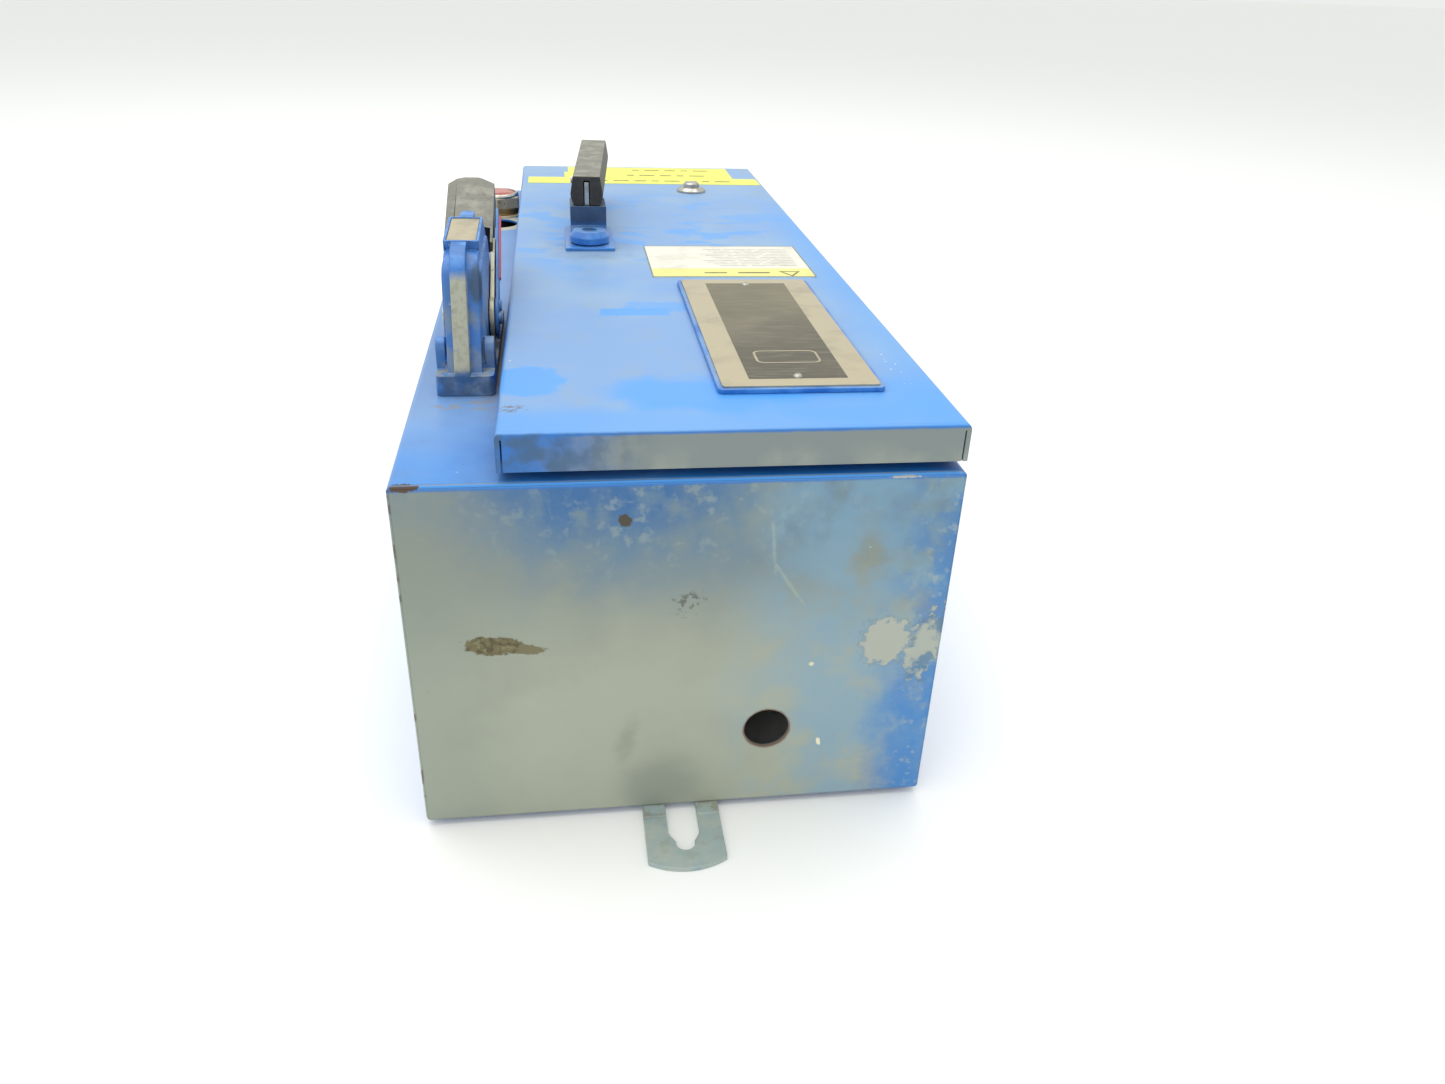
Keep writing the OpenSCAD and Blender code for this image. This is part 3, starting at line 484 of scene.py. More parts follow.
@dataclass(frozen=True)
class Finish:
    """A surface as its maker left it, and what use has done to it since.

    Attributes:
        name: What it is and how it was made, which names the material.
        colour: Its sRGB hex colour when new.
        rough: Roughness.
        metal: Metallic value.
        ior: Index of refraction, used where it is not a metal.
        coat: Weight of a clear gloss on top.
        coat_rough: Roughness of that gloss.
        alpha: How much light it stops.
        grain: Depth of its fine texture in millimetres.
        grain_size: Width of that texture in millimetres.
        grain_stretch: How much longer the texture is along each axis.
        layers: What lies on it, from the bottom up.
    """

    name: str
    colour: str
    rough: float
    metal: float = 0.0
    ior: float = 1.5
    coat: float = 0.0
    coat_rough: float = 0.1
    alpha: float = 1.0
    grain: float = 0.0
    grain_size: float = 1.0
    grain_stretch: Triple = (1.0, 1.0, 1.0)
    layers: Tuple[Layer, ...] = ()

    def material(self) -> bpy.types.Material:
        """Make this finish's material, or fetch it if it is already made.

        Returns:
            The material.
        """
        made = bpy.data.materials.get(self.name)
        if made is not None:
            return made
        made = bpy.data.materials.new(self.name)
        made.use_nodes = True
        made.diffuse_color = paint_colour(self.colour)
        tree = made.node_tree
        shader = tree.nodes["Principled BSDF"]
        shader.inputs["Base Color"].default_value = paint_colour(self.colour)
        shader.inputs["Roughness"].default_value = self.rough
        shader.inputs["Metallic"].default_value = self.metal
        if self.metal < 0.5:
            shader.inputs["IOR"].default_value = self.ior
        shader.inputs["Coat Weight"].default_value = self.coat
        shader.inputs["Coat Roughness"].default_value = self.coat_rough
        shader.inputs["Alpha"].default_value = self.alpha
        self._lay(tree, shader)
        return made

    def _lay(self, tree: bpy.types.NodeTree, shader: bpy.types.Node) -> None:
        """Lay every layer and the grain over the base.

        Args:
            tree: The material's node tree.
            shader: Its Principled shader.
        """
        coords = add_node(tree, "ShaderNodeTexCoord")
        place = add_node(
            tree,
            "ShaderNodeVectorMath",
            {"operation": "SCALE"},
            {0: coords.outputs["Object"], "Scale": 1.0 / MM},
        ).outputs[0]
        colour: object = paint_colour(self.colour)
        rough: object = self.rough
        metal: object = self.metal
        height: object = 0.0
        if self.grain:
            spread = add_node(
                tree,
                "ShaderNodeMapping",
                inputs={
                    "Vector": place,
                    "Scale": tuple(1.0 / (self.grain_size * s) for s in self.grain_stretch),
                },
            )
            fine = add_node(
                tree,
                "ShaderNodeTexNoise",
                inputs={"Vector": spread.outputs[0], "Scale": 1.0, "Detail": 4.0, "Roughness": 0.6},
            )
            height = add_node(
                tree,
                "ShaderNodeMath",
                {"operation": "MULTIPLY"},
                {0: fine.outputs[0], 1: self.grain * MM},
            ).outputs[0]
        for layer in self.layers:
            mask: object = layer.strength
            for part in layer.masks:
                mask = add_node(
                    tree,
                    "ShaderNodeMath",
                    {"operation": "MULTIPLY"},
                    {0: part.draw(tree, place), 1: mask},
                ).outputs[0]
            colour = add_node(
                tree,
                "ShaderNodeMix",
                {"data_type": "RGBA"},
                {"Factor": mask, 6: colour, 7: paint_colour(layer.colour)},
            ).outputs[2]
            if layer.rough is not None:
                rough = add_node(
                    tree, "ShaderNodeMix", inputs={"Factor": mask, 2: rough, 3: layer.rough}
                ).outputs[0]
            if layer.metal is not None:
                metal = add_node(
                    tree, "ShaderNodeMix", inputs={"Factor": mask, 2: metal, 3: layer.metal}
                ).outputs[0]
            if layer.height:
                height = add_node(
                    tree,
                    "ShaderNodeMath",
                    {"operation": "MULTIPLY_ADD"},
                    {0: mask, 1: layer.height * MM, 2: height},
                ).outputs[0]
        for name, value in (("Base Color", colour), ("Roughness", rough), ("Metallic", metal)):
            if isinstance(value, bpy.types.NodeSocket):
                tree.links.new(value, shader.inputs[name])
        if isinstance(height, bpy.types.NodeSocket):
            bump = add_node(
                tree, "ShaderNodeBump", inputs={"Height": height, "Distance": 1.0, "Strength": 1.0}
            )
            tree.links.new(bump.outputs[0], shader.inputs["Normal"])


@dataclass(frozen=True)
class Paintshop:
    """Every finish on the object, by what it is made of.

    Attributes:
        blue: Fresh enamel.
        blue_pale: The same enamel, chalked and wiped; it also serves as a painted highlight on upward faces
            and on the top end plate's rounded top edge.
        haze: Grey film on enamel.
        primer: Grey primer.
        primer_pale: Primer, rubbed dry; on the top end plate it also carries painted light thrown up from
            the bench.
        rust: Old rust.
        hole_x: Middle of the conduit hole, in millimetres.
        hole_z: Height of the conduit hole, in millimetres.
        end_face: Outer face of the top end plate, in millimetres.
        flange_top: Outer face of the front flange, in millimetres.
        door_top: Outer face of the door, in millimetres.
        handle_x: Middle of the strip that the flange handle stands on, in millimetres.
    """

    blue: str = "#1a68b6"
    blue_pale: str = "#4296e2"
    haze: str = "#8a9fb4"
    primer: str = "#7f867c"
    primer_pale: str = "#a3a897"
    rust: str = "#54443a"
    hole_x: float = 42.0
    hole_z: float = 48.4
    end_face: float = field(default_factory=lambda: lowest("top_end_plate", Axis.Y))
    flange_top: float = field(default_factory=lambda: highest("top_end_plate", Axis.Z))
    door_top: float = field(default_factory=lambda: highest("door_panel", Axis.Z))
    handle_x: float = field(default_factory=lambda: middle("pilot_bezel").x)

    def end_spot(
        self,
        x: float,
        z: float,
        wide: float,
        high: float,
        soft: float,
        ragged: float,
        grain: float,
        turn: float = 0.0,
    ) -> Blot:
        """Place a spot on the top end plate.

        Args:
            x: Its middle across the box, in millimetres.
            z: Its middle's height, in millimetres.
            wide: Its reach to each side, in millimetres.
            high: Its reach up and down, in millimetres.
            soft: Width of its faded border, as a share of its reach.
            ragged: How far the border wanders, as a share of its reach.
            grain: Width of the wandering, in millimetres.
            turn: Its turn on the plate, in degrees.

        Returns:
            The spot.
        """
        return Blot((x, self.end_face, z), (wide, 6.0, high), soft, ragged, grain, turn)

    def door_spot(
        self,
        x: float,
        y: float,
        wide: float,
        long: float,
        soft: float,
        ragged: float,
        grain: float,
    ) -> Blot:
        """Place a spot on the door's outer face.

        Args:
            x: Its middle across the box, in millimetres.
            y: Its middle along the box, in millimetres.
            wide: Its reach across, in millimetres.
            long: Its reach along, in millimetres.
            soft: Width of its faded border, as a share of its reach.
            ragged: How far the border wanders, as a share of its reach.
            grain: Width of the wandering, in millimetres.

        Returns:
            The spot.
        """
        return Blot((x, y, self.door_top), (wide, long, 9.0), soft, ragged, grain)

    def flange_enamel(self) -> Finish:
        """Blue baking enamel over grey primer: smooth, with a soft gloss gone patchy, and a painted
        highlight of pale blue on its upward faces.

        Returns:
            The finish of the wrap, the front flange and the bottom end plate.
        """
        return Finish(
            "blue_baking_enamel",
            self.blue,
            rough=0.36,
            coat=0.15,
            coat_rough=0.25,
            grain=0.02,
            grain_size=1.6,
            layers=(
                Layer(self.blue_pale, (Cloud(90.0, 0.34, 0.7),), 0.3, rough=0.42),
                # Painted highlight: pale blue on the upward faces, where the overhead light falls
                Layer(self.blue_pale, (Facing(Axis.Z), Cloud(70.0, 0.36, 0.6)), 0.5, rough=0.45),
                Layer(self.haze, (Cloud(45.0, 0.5, 0.74, shift=40.0),), 0.22, rough=0.5),
                # Dust on the flange, thinner towards the top end
                Layer(
                    "#93abc6",
                    (Facing(Axis.Z), Ramp(Axis.Y, -310.0, -220.0, 25.0, 30.0)),
                    0.45,
                    rough=0.5,
                ),
                Layer("#c9cfd6", (Specks(14.0, 0.55, 0.25),), 0.6, rough=0.6),
                Layer("#57616e", (Specks(9.0, 0.5, 0.2, shift=33.0),), 0.6, rough=0.7),
                # Rust where the corner by the top end was knocked
                Layer(
                    self.rust,
                    (
                        Blot(
                            (-118.0, self.end_face + 1.2, self.flange_top - 0.7),
                            (5.0, 1.6, 2.0),
                            0.15,
                            1.3,
                            1.6,
                        ),
                    ),
                    rough=0.9,
                    height=-0.2,
                ),
                # Dust in the gap round the flange handle and along the door's edge
                Layer(
                    "#84755b",
                    (
                        Blot((self.handle_x, -141.0, self.flange_top), (24.0, 78.0, 6.0), 0.5, 0.4, 14.0),
                        Ramp(Axis.X, -94.0, -83.0, 3.0),
                    ),
                    0.9,
                    rough=0.9,
                ),
                Layer(
                    "#8c8575",
                    (
                        Blot((-98.0, -216.0, self.flange_top), (15.0, 7.0, 3.0), 0.3, 1.2, 5.0),
                        Cloud(2.6, 0.5, 0.58, stretch=(2.4, 1.0, 1.0), shift=7.0),
                    ),
                    0.7,
                    rough=0.8,
                ),
                # Bare ring where a device's gasket kept the paint off
                Layer(
                    "#bdb59c",
                    (
                        Blot((self.handle_x, 173.0, self.flange_top), (25.0, 25.0, 6.0), 0.05, 0.12, 10.0),
                        Facing(Axis.Z),
                    ),
                    0.9,
                    rough=0.6,
                ),
            ),
        )

    def door_enamel(self) -> Finish:
        """The same enamel under a film of dust, wiped through in places, with a painted sheen of paler blue
        on its upward faces.

        Returns:
            The finish of the door pan.
        """
        clean = self.blue_pale
        spot = self.door_spot
        up = Facing(Axis.Z)
        lip = Ramp(Axis.Y, -301.3, -302.3)
        return Finish(
            "dusty_blue_enamel_painted_sheen",
            self.blue,
            rough=0.38,
            coat=0.12,
            coat_rough=0.3,
            grain=0.02,
            grain_size=1.6,
            layers=(
                # Paler blue over the upward faces: a thin haze together with a painted sheen of the
                # overhead light
                Layer("#7ea3cf", (Facing(Axis.Z, 0.6, 0.95),), 0.85, rough=0.5),
                Layer("#93adc2", (up, Cloud(90.0, 0.4, 0.66)), 0.55, rough=0.55),
                Layer("#8f9da6", (up, Cloud(26.0, 0.5, 0.72, shift=12.0)), 0.3, rough=0.6),
                # Wiped patches by the top-end edge
                Layer(
                    clean,
                    (up, spot(-68.0, -242.0, 17.0, 19.0, 0.12, 0.5, 11.0)),
                    0.8,
                    rough=0.4,
                ),
                Layer(
                    clean,
                    (up, spot(12.0, -262.0, 44.0, 20.0, 0.35, 0.7, 22.0)),
                    0.85,
                    rough=0.4,
                ),
                Layer(
                    clean,
                    (up, spot(84.0, -272.0, 52.0, 26.0, 0.5, 0.6, 30.0)),
                    0.7,
                    rough=0.4,
                ),
                Layer(
                    clean,
                    (up, Ramp(Axis.X, 88.0, 122.0, 8.0, 60.0), Ramp(Axis.Y, 180.0, 60.0)),
                    0.55,
                    rough=0.4,
                ),
                # The top-end edge is handled most, so little dust stays on it
                Layer(clean, (up, Ramp(Axis.Y, -268.0, -290.0, 8.0, 30.0)), 0.6, rough=0.4),
                # Pale chips in a row along the hinge-side edge
                Layer(
                    "#e4e9ec",
                    (
                        up,
                        Specks(3.2, 0.6, 0.5, shift=2.0),
                        spot(109.0, -222.0, 5.0, 30.0, 0.2, 0.5, 8.0),
                    ),
                    0.9,
                ),
                # Tape mark beside the nameplate
                Layer(
                    clean,
                    (
                        Ramp(Axis.X, -31.0, -29.0, 1.5, 5.0),
                        Ramp(Axis.X, 10.0, 6.0, 3.0, 6.0),
                        Ramp(Axis.Y, -144.4, -143.4, 0.8, 5.0),
                        Ramp(Axis.Y, -130.8, -131.8, 0.8, 5.0),
                        up,
                    ),
                    0.85,
                    rough=0.4,
                ),
                Layer(
                    clean,
                    (up, Blot((6.0, -128.0, self.door_top), (22.0, 9.0, 6.0), 0.3, 0.9, 9.0)),
                    0.6,
                    rough=0.4,
                ),
                # Wiping strokes round the latch
                Layer(
                    clean,
                    (
                        up,
                        Cloud(24.0, 0.5, 0.6, stretch=(1.5, 1.0, 1.0), shift=5.0),
                        spot(0.0, 55.0, 110.0, 110.0, 0.5, 0.4, 40.0),
                    ),
                    0.7,
                    rough=0.42,
                ),
                # Darker blue-grey round the latch's plate
                Layer(
                    "#5b6674",
                    (up, spot(-30.5, 6.0, 26.0, 24.0, 0.5, 0.8, 14.0)),
                    0.4,
                    rough=0.6,
                ),
                # The top-end lip is rubbed down to primer except at its latch-side end
                Layer(
                    self.primer,
                    (
                        lip,
                        Ramp(Axis.X, -70.0, -20.0, 20.0, 16.0),
                        Ramp(Axis.Z, 206.3, 205.0, 0.5),
                    ),
                    0.9,
                    rough=0.62,
                ),
                Layer(
                    self.primer_pale,
                    (
                        lip,
                        Cloud(38.0, 0.42, 0.66),
                        Ramp(Axis.Z, 204.0, 190.0, 3.0, 8.0),
                        Ramp(Axis.X, -80.0, 0.0),
                    ),
                    0.5,
                    rough=0.7,
                ),
                Layer(
                    "#35536d",
                    (
                        lip,
                        Cloud(12.0, 0.4, 0.6, shift=3.0),
                        Ramp(Axis.X, 0.0, -60.0),
                    ),
                    0.75,
                    rough=0.55,
                ),
                Layer("#3c4048", (Specks(16.0, 0.55, 0.3, shift=9.0), up), 0.6, rough=0.8),
                Layer("#ddd6bb", (Specks(38.0, 0.8, 0.35, shift=3.0), up), 0.9, height=0.05),
                Layer(
                    "#6b655a",
                    (
                        up,
                        Blot((-73.0, -276.0, self.door_top), (6.0, 4.0, 3.0), 0.3, 1.2, 4.0),
                        Cloud(2.2, 0.48, 0.56, stretch=(1.8, 1.0, 1.0)),
                    ),
                    0.75,
                    rough=0.85,
                ),
            ),
        )

    def end_enamel(self) -> Finish:
        """Enamel rubbed through to grey primer over most of the top end.

        Returns:
            The finish of the top end plate.
        """
        outer = Ramp(Axis.Y, self.end_face + 1.4, self.end_face + 0.5)
        spot = self.end_spot
        scraped = (
            spot(97.0, 97.0, 11.5, 12.5, 0.12, 0.8, 4.0),
            spot(117.0, 93.0, 7.5, 19.0, 0.12, 1.2, 4.0, turn=14.0),
        )
        rim = (
            spot(97.0, 97.0, 12.6, 13.6, 0.14, 0.8, 4.0),
            spot(117.0, 93.0, 8.4, 20.2, 0.14, 1.2, 4.0, turn=14.0),
        )
        smear = (
            spot(-86.5, 104.8, 13.0, 5.0, 0.08, 0.45, 3.4, turn=3.0),
            spot(-72.0, 102.2, 9.0, 2.6, 0.12, 0.9, 2.4, turn=9.0),
        )
        return Finish(
            "enamel_worn_to_primer",
            self.primer,
            rough=0.46,
            coat=0.08,
            coat_rough=0.3,
            grain=0.03,
            grain_size=2.2,
            layers=(
                # Grey primer, paler low down and towards the middle; the paleness low down is painted light
                # thrown up from the bench
                Layer(self.primer_pale, (outer, Ramp(Axis.Z, 165.0, 70.0, 16.0, 50.0)), 0.85, rough=0.5),
                Layer("#7c8880", (outer, Ramp(Axis.X, -60.0, -115.0, 14.0, 30.0)), 0.4, rough=0.5),
                Layer(self.primer, (outer, Cloud(60.0, 0.46, 0.7, shift=31.0)), 0.3, rough=0.5),
                # Blue film left over the upper part, then the deeper arc under the top edge
                Layer(
                    "#5a7b90",
                    (
                        outer,
                        Ramp(Axis.Z, 92.0, 168.0, 18.0, 36.0),
                        Ramp(Axis.X, -105.0, -45.0, 16.0, 26.0),
                        Cloud(48.0, 0.28, 0.6, shift=55.0),
                    ),
                    0.62,
                    rough=0.46,
                ),
                Layer(
                    "#326b9b",
                    (
                        outer,
                        spot(-26.0, 192.0, 74.0, 44.0, 0.75, 0.5, 24.0),
                        Cloud(20.0, 0.3, 0.55, shift=21.0),
                    ),
                    0.6,
                    rough=0.44,
                ),
                Layer(
                    "#175a96",
                    (
                        outer,
                        spot(-34.0, 188.0, 46.0, 27.0, 0.6, 0.45, 14.0),
                        Cloud(13.0, 0.34, 0.56, shift=21.0),
                    ),
                    0.8,
                    rough=0.42,
                ),
                Layer(
                    "#93a09a",
                    (
                        outer,
                        Cloud(6.0, 0.53, 0.68, detail=9.0, shift=2.0),
                        spot(-8.0, 172.0, 74.0, 24.0, 0.7, 0.6, 20.0),
                    ),
                    0.45,
                    rough=0.55,
                ),
                # Film of blue on the hinge side, deeper beside the edge and low down
                Layer(
                    "#6f9cba",
                    (outer, Ramp(Axis.X, 8.0, 70.0, 24.0, 34.0), Cloud(30.0, 0.36, 0.6, shift=71.0)),
                    0.6,
                    rough=0.48,
                ),
                Layer(
                    "#2a74b6",
                    (outer, Ramp(Axis.X, 84.0, 124.0, 16.0, 22.0), Cloud(17.0, 0.38, 0.58, shift=13.0)),
                    0.75,
                    rough=0.44,
                ),
                Layer(
                    "#2f7cc0",
                    (
                        outer,
                        Ramp(Axis.X, 84.0, 112.0, 18.0, 18.0),
                        Ramp(Axis.Z, 88.0, 62.0, 12.0, 14.0),
                        Cloud(15.0, 0.22, 0.46, shift=47.0),
                    ),
                    0.8,
                    rough=0.42,
                ),
                Layer(self.blue, (outer, Ramp(Axis.Z, 182.2, 183.8, 0.6, 6.0)), 0.9, rough=0.4),
                # Painted highlight: pale blue along the rounded top edge
                Layer(self.blue_pale, (outer, Ramp(Axis.Z, 183.2, 184.8)), 0.6, rough=0.35),
                # Pale primer scraped bare beside the hinge side, with a dark broken rim
                Layer("#56707f", (outer, rim[0]), 0.55, rough=0.6),
                Layer("#56707f", (outer, rim[1]), 0.55, rough=0.6),
                Layer("#a9ada1", (outer, scraped[0]), 0.95, rough=0.65),
                Layer("#a9ada1", (outer, scraped[1], Cloud(9.0, 0.4, 0.52, shift=6.0)), 0.9, rough=0.65),
                Layer(
                    "#9aa6a6",
                    (outer, Ramp(Axis.X, 96.0, 122.0, 10.0, 14.0), Cloud(5.0, 0.54, 0.66, detail=9.0)),
                    0.55,
                    rough=0.6,
                ),
                # Brown smear of old adhesive, blunt at one end and drawn out at the other
                Layer("#6b6547", (outer, smear[0]), rough=0.85, height=0.12),
                Layer("#6b6547", (outer, smear[1]), 0.9, rough=0.85),
                Layer("#423d2b", (outer, smear[0], Cloud(2.6, 0.46, 0.6)), 0.7, rough=0.85),
                Layer("#8b8768", (outer, smear[0], Cloud(3.4, 0.54, 0.66, shift=8.0)), 0.6, rough=0.85),
                # Round dark spot under the top edge and a smudge below it
                Layer(
                    "#4a4439",
                    (outer, spot(-27.0, 166.5, 2.8, 3.3, 0.12, 0.8, 2.2)),
                    rough=0.85,
                    height=0.1,
                ),
                Layer(
                    "#56584f",
                    (
                        outer,
                        spot(2.0, 123.0, 6.8, 5.6, 0.3, 1.0, 3.0),
                        Cloud(2.6, 0.5, 0.58, shift=4.0),
                    ),
                    0.8,
                    rough=0.8,
                ),
                Layer("#7d8478", (outer, spot(-27.0, 46.0, 4.0, 12.0, 0.8, 0.9, 6.0, turn=12.0)), 0.45),
                # Grease shadow above the mounting tab
                Layer("#66726f", (outer, spot(-11.0, 15.0, 19.0, 18.0, 0.55, 0.25, 14.0)), 0.4),
                # Cream paint flecks
                Layer(
                    "#d2cdb0",
                    (outer, spot(61.5, 86.0, 1.3, 1.2, 0.1, 0.8, 2.0)),
                    rough=0.6,
                    height=0.1,
                ),
                Layer(
                    "#e0dcc0",
                    (outer, spot(68.8, 38.4, 1.1, 2.3, 0.1, 0.7, 2.0, turn=-15.0)),
                    rough=0.6,
                    height=0.1,
                ),
                Layer("#b4b29c", (outer, spot(96.0, 184.0, 6.5, 0.7, 0.2, 1.2, 2.0)), 0.8),
                # Two faint scratches that meet
                Layer(
                    "#9fab9f",
                    (outer, spot(39.5, 152.0, 0.8, 12.0, 0.6, 1.2, 4.0, turn=-6.0)),
                    0.4,
                    rough=0.6,
                ),
                Layer(
                    "#9fab9f",
                    (outer, spot(48.0, 131.0, 0.8, 12.0, 0.6, 1.2, 4.0, turn=-33.0)),
                    0.4,
                    rough=0.6,
                ),
                Layer("#3d4046", (outer, Specks(17.0, 0.5, 0.25, shift=17.0)), 0.6, rough=0.8),
                Layer("#dcd9c8", (outer, Specks(27.0, 0.45, 0.35, shift=5.0)), 0.8, rough=0.6),
                # Rusty rim round the conduit hole, and rust on the knocked corners
                Layer(
                    "#6d4a3a",
                    (outer, spot(self.hole_x, self.hole_z, 12.0, 12.0, 0.03, 0.06, 5.0)),
                    0.8,
                    rough=0.9,
                ),
                Layer(
                    self.rust,
                    (outer, Ramp(Axis.X, -123.2, -124.6), Cloud(9.0, 0.55, 0.62, shift=8.0)),
                    0.8,
                    rough=0.9,
                ),
                Layer(
                    self.rust,
                    (outer, spot(-118.0, 184.6, 7.0, 1.7, 0.15, 1.0, 2.4)),
                    rough=0.9,
                ),
            ),
        )

    def tab_enamel(self) -> Finish:
        """Thin enamel on the mounting tabs, faded to a grey blue.

        Returns:
            The finish of both tabs.
        """
        return Finish(
            "faded_tab_enamel",
            "#9babaa",
            rough=0.45,
            grain=0.03,
            grain_size=1.5,
            layers=(
                Layer("#adb5aa", (Cloud(14.0, 0.4, 0.62),), 0.7, rough=0.6),
                Layer("#5f7f9b", (Cloud(9.0, 0.52, 0.68, shift=19.0),), 0.35, rough=0.5),
                Layer("#b9b39a", (Specks(7.0, 0.6, 0.3),), 0.6, rough=0.7),
                Layer(
                    "#8c8468",
                    (Ramp(Axis.Z, 2.2, 3.1), Cloud(6.0, 0.5, 0.66, shift=4.0)),
                    0.6,
                    rough=0.7,
                ),
            ),
        )

    def cast_enamel(self) -> Finish:
        """Enamel on a sand casting, worn off where hands and tools rub, with a painted highlight on its
        upward faces and painted shade on its front face and under the plate's frame.

        Returns:
            The finish of the flange handle's base.
        """
        rib = (
            Ramp(Axis.X, -104.0, -103.2, 0.3, 4.0),
            Ramp(Axis.X, -95.4, -96.2, 0.3, 4.0),
            Ramp(Axis.Y, -170.0, -176.0, 2.0, 5.0),
            Ramp(Axis.Z, 244.0, 238.0, 2.0, 5.0),
            Ramp(Axis.Z, 196.4, 199.0, 1.0, 4.0),
        )
        return Finish(
            "cast_blue_enamel",
            self.blue,
            rough=0.4,
            coat=0.2,
            coat_rough=0.3,
            grain=0.1,
            grain_size=1.3,
            layers=(
                Layer("#3a679c", (Cloud(10.0, 0.4, 0.62),), 0.6, rough=0.5),
                # Painted highlight: paler blue on the upward faces
                Layer("#5f9bdc", (Facing(Axis.Z, 0.4, 0.9), Cloud(9.0, 0.4, 0.6)), 0.6, rough=0.45),
                # Worn to dull metal low on the cheeks, darker at the foot of the block's front
                Layer(
                    "#828a86",
                    (Cloud(12.0, 0.38, 0.62, shift=14.0), Ramp(Axis.Z, 240.0, 218.0, 5.0, 9.0)),
                    0.6,
                    rough=0.6,
                ),
                # Painted shade under the plate's frame
                Layer(
                    "#2c3f4e",
                    (Blot((-91.0, -186.0, 236.0), (3.4, 14.0, 9.0), 0.3, 0.4, 4.0),),
                    0.75,
                    rough=0.6,
                ),
                Layer("#a7a791", rib + (Cloud(6.0, 0.25, 0.4),), 0.95, rough=0.62),
                Layer("#8f8d78", rib + (Cloud(3.0, 0.45, 0.65, shift=3.0),), 0.6, rough=0.7),
                # Painted shade: darker blue over the front face, towards the top end
                Layer(
                    "#26496b",
                    (Ramp(Axis.Y, -202.4, -203.6), Cloud(7.0, 0.3, 0.6, shift=5.0)),
                    0.7,
                    rough=0.55,
                ),
                Layer(
                    "#9a9a88",
                    (Ramp(Axis.Z, 205.0, 197.0, 2.5, 4.0), Facing(Axis.Z, 0.3, 0.8), Cloud(5.0, 0.36, 0.6)),
                    0.7,
                    rough=0.75,
                ),
                Layer("#c2bfae", (Specks(5.0, 0.45, 0.25),), 0.6, rough=0.7),
            ),
        )

    def plain_enamel(self) -> Finish:
        """Enamel on small door fittings: glossier, with pale rubbed edges.

        Returns:
            The finish of the latch's plate and arm, and of the nameplate's pad.
        """
        return Finish(
            "blue_fitting_enamel",
            "#1f69bc",
            rough=0.33,
            coat=0.2,
            coat_rough=0.2,
            grain=0.03,
            grain_size=1.2,
            layers=(
                Layer("#559bdc", (Cloud(14.0, 0.42, 0.62),), 0.45, rough=0.42),
                Layer("#86a0ba", (Facing(Axis.Z), Cloud(20.0, 0.35, 0.6, shift=6.0)), 0.55, rough=0.5),
                # Hand grease on the front of the latch's arm
                Layer(
                    "#26303a",
                    (Ramp(Axis.Z, 213.0, 220.0, 2.0, 6.0), Ramp(Axis.Y, 12.0, 20.0, 3.0, 6.0)),
                    0.8,
                    rough=0.5,
                ),
                Layer("#5a6069", (Specks(5.0, 0.4, 0.25),), 0.6, rough=0.7),
            ),
        )

    def cover_enamel(self) -> Finish:
        """Enamel on the lever's thin cover, greyed where sleeves rub it.

        Returns:
            The finish of the lever cover.
        """
        return Finish(
            "rubbed_cover_enamel",
            "#2a68ae",
            rough=0.38,
            coat=0.15,
            grain=0.03,
            grain_size=1.2,
            layers=(
                Layer("#6390bb", (Cloud(12.0, 0.42, 0.62),), 0.5, rough=0.5),
                Layer("#6d7580", (Cloud(5.0, 0.55, 0.68, shift=3.0),), 0.5, rough=0.6),
            ),
        )

    def red_stripe(self) -> Finish:
        """Red vinyl tape: flat and a little dull.

        Returns:
            The finish of the stripe along the lever's cover.
        """
        return Finish(
            "red_vinyl_tape",
            "#b8283c",
            rough=0.45,
            layers=(Layer("#8d3a44", (Cloud(8.0, 0.45, 0.65),), 0.5, rough=0.6),),
        )

    def zinc(self) -> Finish:
        """Yellowed zinc plating: satin, with a cream bloom.

        Returns:
            The finish of the lever's arms, the link, the cam, the brackets and the screws.
        """
        return Finish(
            "yellowed_zinc_plating",
            "#b6b29c",
            rough=0.42,
            metal=0.55,
            grain=0.02,
            grain_size=0.9,
            layers=(
                Layer("#d0cbb2", (Cloud(9.0, 0.42, 0.62),), 0.6, rough=0.5, metal=0.3),
                Layer("#6b6250", (Cloud(5.0, 0.58, 0.7, shift=9.0),), 0.6, rough=0.7, metal=0.1),
            ),
        )

    def steel(self) -> Finish:
        """Bright rolled steel with a light tarnish.

        Returns:
            The finish of shafts, hinges and the latch's tang.
        """
        return Finish(
            "bright_rolled_steel",
            "#b9bab8",
            rough=0.32,
            metal=1.0,
            grain=0.015,
            grain_size=0.6,
            grain_stretch=(1.0, 12.0, 1.0),
            layers=(Layer("#8d8a80", (Cloud(7.0, 0.48, 0.66),), 0.6, rough=0.5),),
        )

    def panel_white(self) -> Finish:
        """White enamel on the mounting panel, with a little dust.

        Returns:
            The finish of the mounting panel.
        """
        return Finish(
            "white_panel_enamel",
            "#dcdeda",
            rough=0.35,
            coat=0.1,
            grain=0.02,
            grain_size=1.5,
            layers=(Layer("#b5b3a6", (Cloud(60.0, 0.45, 0.7),), 0.35, rough=0.6),),
        )

